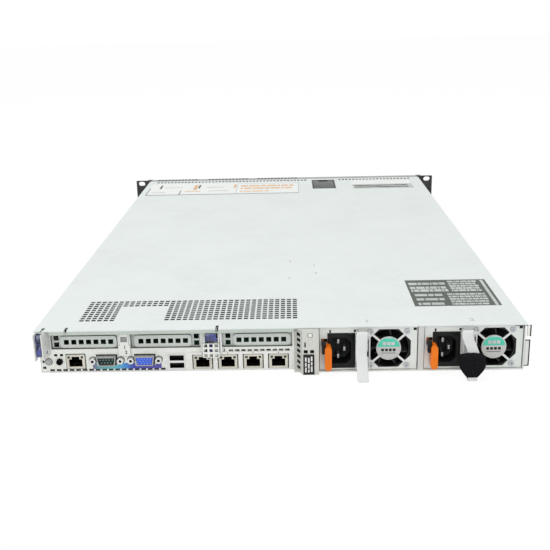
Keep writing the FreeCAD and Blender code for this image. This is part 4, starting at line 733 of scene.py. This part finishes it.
for number in (1, 2):
    body, latch = f"psu_{number}", f"psu_{number}_latch"
    dress(case, f"psu_{number}_case")
    case_low, case_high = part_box(f"psu_{number}_case")
    face = Vector((case_low.x, case_low.y, 0))
    fan = Vector((case_low.x + FAN_X * MM, case_low.y, (case_low.z + case_high.z) / 2))

    disc = start_rod(f"hub_disc_{number}", HUB_RADIUS - 0.1, beside(fan, 0, -0.4, 0), 0.4, 64)
    finish_piece(round_off(disc, 0.15), milky, body)
    label = start_rod(f"hub_label_{number}", HUB_RADIUS - 0.9, beside(fan, 0, -0.5, 0), 0.15, 64)
    finish_piece(round_off(label, 0.04, 1), hub_finish(number, fan.z), body)
    hub_low, hub_high = (beside(fan, side * HUB_RADIUS, -0.55 + 0.05 * side, side * HUB_RADIUS)
                         for side in (-1, 1))
    for name, fields, colour in (("hub_bars", HUB_BARS, milky), ("hub_dashes", HUB_DASHES, charcoal)):
        printed = print_fields(f"{name}_{number}", hub_low, hub_high, 2, fields)
        finish_piece(printed, colour, body)

    # Painted shade: black patches where the face's slots are dark.
    slot_shade_high = Vector((case_high.x, case_low.y + 0.04 * MM, case_high.z))
    slots = print_fields(f"case_slot_shade_{number}", beside(case_low, 0, -0.06, 0), slot_shade_high, 2, CASE_SLOT_SHADES)
    finish_piece(slots, painted_shade_black, body)

    head = start_rod(f"fan_screws_{number}", 2.5, beside(fan, -SCREW_OUT, -1.0, -SCREW_OUT), 1.0, 28)
    for across, up in ((HEAD_HALF, SLOT_HALF), (SLOT_HALF, HEAD_HALF)):
        carve(head, start_block("slot", beside(fan, -SCREW_OUT - across, -2, -SCREW_OUT - up),
                                beside(fan, across - SCREW_OUT, -0.2, up - SCREW_OUT)))
    corners = [Vector((x, 0, z)) * 2 * SCREW_OUT * MM for x, z in ((1, 0), (0, 1), (1, 1))]
    finish_piece(repeat(round_off(head, 0.18), corners), screw_metal, body)

    dress(black, f"psu_{number}_fan_frame")
    dress(rotor_black, f"psu_{number}_fan_rotor")

    soften(f"psu_{number}_inlet", f"inlet_{number}", 0.35, charcoal, body)
    inlet_low, inlet_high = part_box(f"psu_{number}_inlet")
    inlet = Vector(((inlet_low.x + inlet_high.x) / 2, face.y, (inlet_low.z + inlet_high.z) / 2))
    blade = start_block(f"inlet_blades_{number}", beside(inlet, -3.65, 3.9, -9.05),
                        beside(inlet, -1.55, 14.9, -4.95))
    blades = repeat(round_off(blade, 0.4), [(0, 0, 14.0 * MM), (5.6 * MM, 0, 7.0 * MM)])
    finish_piece(blades, blade_metal, body)

    soften(f"psu_{number}_latch", f"latch_{number}", 0.5, orange, latch, 3)
    grip = start_block("grip", beside(face, 1.9, -9.3, 19.7), beside(face, 5.6, -3.7, 30.3))
    sleeve = start_block("sleeve", beside(face, 2.0, -3.9, 24.4), beside(face, 4.1, -1.2, 30.2))
    arm = join_pieces(f"release_arm_{number}", [round_off(grip, 0.5), round_off(sleeve, 0.3)])
    finish_piece(arm, charcoal, latch)
    soften(f"psu_{number}_handle", f"pull_{number}", 0.6, milky, body, 3)

    pull_low, pull_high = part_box(f"psu_{number}_handle")
    near, far = pull_low.y - 1.0 * MM, pull_low.y + 3.5 * MM
    top = pull_high.z + 1.0 * MM
    foot = Vector(((pull_low.x + pull_high.x) / 2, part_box(f"psu_{number}_strap")[0].y, 0))
    route = [(far, 20 * MM), (far, 28 * MM), (far, 34 * MM), (far - 0.4 * MM, top - 0.6 * MM),
             (far - 2.2 * MM, top), (near + 0.6 * MM, top - 0.4 * MM), (near, 34 * MM)]
    route += [(near - out * MM, height * MM) for out, height in STRAP_HANGS[number]]
    if number == 1:
        route.append((foot.y + 0.6 * MM, 1.0 * MM))
    sway = [foot.x + shift * MM for shift in STRAP_SWAYS[number]]
    widths = [STRAP_GATHERED if y > near + 0.8 * MM else STRAP_CUT for y, _ in route]
    band = lay_band(f"strap_{number}", route, widths, STRAP_GAUGE, sway)
    finish_piece(band, webbing, body)
    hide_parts(f"psu_{number}_strap")


# Strap pad: a black hook-and-loop pad at the lower end, or foot, of the second strap, which is laid last.
# It is soft felt, swollen at the top, gathered at the bottom and covered in a fine nap. The strap's white
# tip comes out below it.
felt, felt_tree, felt_shader, felt_place = bare_finish("black_felt", 0.0, Specular_IOR_Level=0.05)
pile = mottle(felt_tree, felt_place, 1500.0, 5.0)
paint(felt_tree, felt_shader, pile, (0.35, (0.004, 0.004, 0.005)), (0.75, (0.022, 0.022, 0.025)))
roughen(felt_tree, felt_shader, pile, 0.6, 0.3, (0.85, 1.0), 0.2)
PAD_HALF, PAD_NECK, PAD_SHOULDER = 10.5, 0.42, 0.72
pad_low, pad_high = beside(foot, -PAD_HALF, 2.0, 2.4), beside(foot, PAD_HALF, 11.4, 22.0)
pad = start_block("strap_pad", pad_low, pad_high)
bpy.ops.object.mode_set(mode="EDIT")
bpy.ops.mesh.select_all(action="SELECT")
bpy.ops.mesh.subdivide(number_cuts=7, smoothness=0.35)
bpy.ops.object.mode_set(mode="OBJECT")
pad_middle = (pad_low + pad_high) / 2
for point in pad.data.vertices:
    height = max(0.0, min(1.0, (point.co.z - pad_low.z) / (pad_high.z - pad_low.z)))
    swell = PAD_NECK + (1 - PAD_NECK) * math.sin(math.pi / 2 * min(1.0, height / PAD_SHOULDER))
    point.co.x = pad_middle.x + (point.co.x - pad_middle.x) * swell
    point.co.y = pad_middle.y + (point.co.y - pad_middle.y) * (0.55 + 0.45 * swell)
apply_modifier(pad, "SUBSURF", levels=2, render_levels=2)
nap = bpy.data.textures.new("nap", "CLOUDS")
nap.noise_scale = 1.2 * MM
apply_modifier(pad, "DISPLACE", texture=nap, texture_coords="LOCAL", strength=0.5 * MM, mid_level=0.9)
bpy.ops.object.shade_smooth()
finish_piece(pad, felt, "psu_2")
make_block("strap_tip", beside(foot, -4.0, 1.0, 0.5), beside(foot, 4.0, 7.0, 3.6), 0.5, webbing,
           "psu_2", 3)


# Top cover: a pale coated sheet with folded edges and a field of vents, hooked in the tray's walls. Three
# plates with plain dashes are stuck on it, and figures number the supplies. Its right flange ends in a
# folded tab, and a black strip beside the tab and under the cover's edge is painted shade in the gaps.
cover_low, cover_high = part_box("top_cover")
COVER = Vector((0, cover_low.y, cover_high.z))
# The cover's vent walls and dimples are painted dark below its top, away from the rear edge: painted shade.
cover = sheet_finish("cover_sheet", (0.825, 0.88, 0.86), 0.05, contrast=0.6,
                     shade_heights=(COVER.z - 0.6 * MM, COVER.z - 0.05 * MM, COVER.y))
dress(cover, "top_cover")
# The folds are the cover's sheet painted darker: painted shade on the rear lip and flanges.
dress(sheet_finish("fold_sheet", (0.525, 0.595, 0.535), 0.08, contrast=0.6), "cover_folds")
white_label = moulded_finish("white_label", (0.95, 0.975, 0.945), (0.4, 0.5), drift=0.02)
grey_label = moulded_finish("grey_label", (0.46, 0.49, 0.46), (0.4, 0.5))
plate_grey = moulded_finish("plate_grey", (0.11, 0.125, 0.11), (0.5, 0.6), Specular_IOR_Level=0.2)
pale_print = moulded_finish("pale_print", (0.58, 0.61, 0.58), (0.5, 0.6))
warm_print = moulded_finish("warm_print", (0.84, 0.50, 0.26), (0.5, 0.6))


def cover_plate(name, left, right, start, end, finish, *prints):
    """A thin plate on the cover between two distances from its rear edge, with its printed fields."""
    low, high = beside(COVER, left, start, -0.02), beside(COVER, right, end, 0.15)
    make_block(name, low, high, 0.05, finish, "cover", 1)
    for index, (colour, fields) in enumerate(prints):
        printed = print_fields(f"{name}_print_{index}", beside(low, 0, 0, 0.14), beside(high, 0, 0, 0.04), 1,
                               fields)
        finish_piece(printed, colour, "cover")


def text_rows(left, right, rows, height, stroke):
    """Rows of plain dashes of uneven length between two shares of a plate's width."""
    dashes = []
    for row, start in enumerate(rows):
        edge, step = left, row
        while edge < right - stroke:
            length = stroke * (1 + 0.8 * (step * 7 % 5))
            dashes.append((edge, min(edge + length, right), start, start + height))
            edge += length + 0.4 * stroke
            step += 1
    return dashes


SUPPLY_ROWS = text_rows(0.05, 0.38, (0.04, 0.20, 0.36), 0.08, 0.035)
SUPPLY_ROWS += text_rows(0.44, 0.89, (0.03, 0.12, 0.21, 0.30, 0.39), 0.06, 0.018)
SUPPLY_ROWS += text_rows(0.03, 0.48, (0.53, 0.64, 0.80), 0.09, 0.025)
SUPPLY_ROWS += text_rows(0.52, 0.88, (0.53, 0.62, 0.71, 0.80, 0.89), 0.065, 0.02)
SUPPLY_ROWS.append((0.93, 0.968, 0.0, 0.97))
cover_plate("supply_label", 126, 206.5, 50, 128, plate_grey, (pale_print, SUPPLY_ROWS))
OUTLINES = [(0.0, 1.0, 0.0, 0.028), (0.0, 0.005, 0.0, 0.6), (0.215, 0.22, 0.0, 0.38),
            (0.065, 0.077, 0.55, 0.85), (0.325, 0.336, 0.55, 0.85)]
GREY_ROWS = [(0.03, 0.12, 0.2, 0.25), (0.10, 0.22, 0.62, 0.66), (0.38, 0.50, 0.6, 0.64),
             (0.40, 0.53, 0.28, 0.32), (0.585, 0.589, 0.0, 0.92), (0.585, 1.0, 0.90, 0.925),
             (0.995, 1.0, 0.0, 0.925)]
WARM_ROWS = text_rows(0.61, 0.965, (0.42, 0.64), 0.11, 0.018) + text_rows(0.61, 0.80, (0.18,), 0.08, 0.018)
WARM_ROWS += [(0.295, 0.318, 0.42, 0.85), (0.563, 0.578, 0.55, 0.85), (0.245, 0.35, 0.27, 0.32)]
etched = moulded_finish("etched_grey", (0.58, 0.61, 0.58), (0.5, 0.6))
cover_plate("service_label", -208, 24, 561, 645, white_label, (warm_print, WARM_ROWS), (etched, GREY_ROWS),
            (slate, OUTLINES))
cover_plate("hatch_label", 107, 199, 585, 648, white_label, (etched, [(0.0, 1.0, 0.0, 0.5)]),
            (grey_label, text_rows(0.03, 0.95, (0.12, 0.3), 0.08, 0.02)))
flange = Vector((cover_high.x, cover_low.y, 0))
TAB_FOOT, TAB_DEPTH, GAP_SHADE_TOP = 31.2, 1.2, 41.75
make_block("flange_end", beside(flange, 0, 0, TAB_FOOT), beside(flange, 2.4, TAB_DEPTH, 41.6), 0.2,
           panel_sheet, "cover")
# Painted shade: a black strip beside the tab and under the cover's edge.
upright = start_block("upright", beside(flange, 2.45, 0, TAB_FOOT),
                      beside(flange, 3.5, TAB_DEPTH, GAP_SHADE_TOP))
cover_gap_shade = start_block("cover_gap_shade", beside(flange, -11, 0, 41.15), beside(flange, -0.05, TAB_DEPTH, GAP_SHADE_TOP))
flange_gap_shade = join_pieces("flange_gap_shade", [round_off(upright, 0.15), round_off(cover_gap_shade, 0.1)])
finish_piece(flange_gap_shade, painted_shade_black, "cover")
SUPPLY_FIGURE = 9.0
for text, x in (("1", 78.0), ("2", 171.0)):
    numeral(f"supply_figure_{text}", text, SUPPLY_FIGURE, beside(COVER, x, 13, 0.02), etched,
            "cover", flat=True)


# Cover latch: a dark moulded tray clipped in the cover's opening, and a lever hinged in it.
# The lever is lifted at its notch and draws the cover to the rear.
dark_latch = moulded_finish("dark_latch", (0.075, 0.08, 0.082), (0.4, 0.55))
dress(dark_latch, "cover_latch_tray")
soften("cover_latch_lever", "latch_lever", 0.6, dark_latch, "cover_lever")


# Studio: a white floor in a white surround, two broad soft lamps, and the camera of the photograph.
# Floor and surround are white to the camera and in reflections, and give the object only plain light.
CAMERA_PLACE, CAMERA_TURN = (13.58, -1041.91, 313.0), (72.4757, 1.2643, 0.9046)
bpy.ops.object.select_all(action="DESELECT")
bpy.ops.object.camera_add(location=Vector(CAMERA_PLACE) * MM,
                          rotation=[math.radians(angle) for angle in CAMERA_TURN])
camera = bpy.context.object
camera.data.lens = 56.06
camera.data.sensor_width = 36.0
camera.data.clip_start = 0.01
bpy.context.scene.camera = camera


def seen_directly(tree):
    """One for rays from the camera, from mirrors and through clear pieces; zero for light on the object."""
    path = add_node(tree, "LightPath").outputs
    either = combine(tree, "MAXIMUM", path["Is Camera Ray"], path["Is Glossy Ray"])
    return combine(tree, "MAXIMUM", either, path["Is Transmission Ray"])


bpy.ops.mesh.primitive_plane_add(size=14, location=(0, 0, -0.2 * MM))
floor = bpy.context.object
floor.name = "floor"
floor_paint, floor_tree, floor_shader, _ = bare_finish("floor_paint", 0.0, Roughness=0.9)
floor_shader.inputs["Base Color"].default_value = (0.9, 0.9, 0.9, 1.0)
FLOOR_GLOW, GLOW_SHARE = 1.06, 0.86
glow = add_node(floor_tree, "Emission", {"Strength": FLOOR_GLOW}).outputs["Emission"]
part = combine(floor_tree, "MULTIPLY", seen_directly(floor_tree), GLOW_SHARE)
both = add_node(floor_tree, "MixShader", {0: part, 1: floor_shader.outputs["BSDF"], 2: glow})
floor_tree.links.new(both.outputs["Shader"], floor_tree.nodes["Material Output"].inputs["Surface"])
floor.data.materials.append(floor_paint)

world = bpy.data.worlds.new("surround")
bpy.context.scene.world = world
world.use_nodes = True
sky = world.node_tree.nodes["Background"]
sky.inputs["Color"].default_value = (1.0, 1.0, 1.0, 1.0)
level = rescale(world.node_tree, seen_directly(world.node_tree), end=(0.56, 1.0))
world.node_tree.links.new(level, sky.inputs["Strength"])


def lamp(name, place, aim, size, watts):
    """A square soft lamp that looks at a point."""
    bpy.ops.object.light_add(type="AREA", location=place)
    made = bpy.context.object
    made.name = name
    made.data.size = size
    made.data.energy = watts
    made.rotation_euler = (Vector(aim) - Vector(place)).to_track_quat("-Z", "Y").to_euler()


lamp("top_lamp", (-0.5, -0.3, 2.0), (0, 0, 0), 1.6, 14)
lamp("rear_lamp", (0.3, -2.2, 0.9), (0, -0.3, 0), 1.4, 11)
bpy.context.scene.view_settings.view_transform = "Standard"
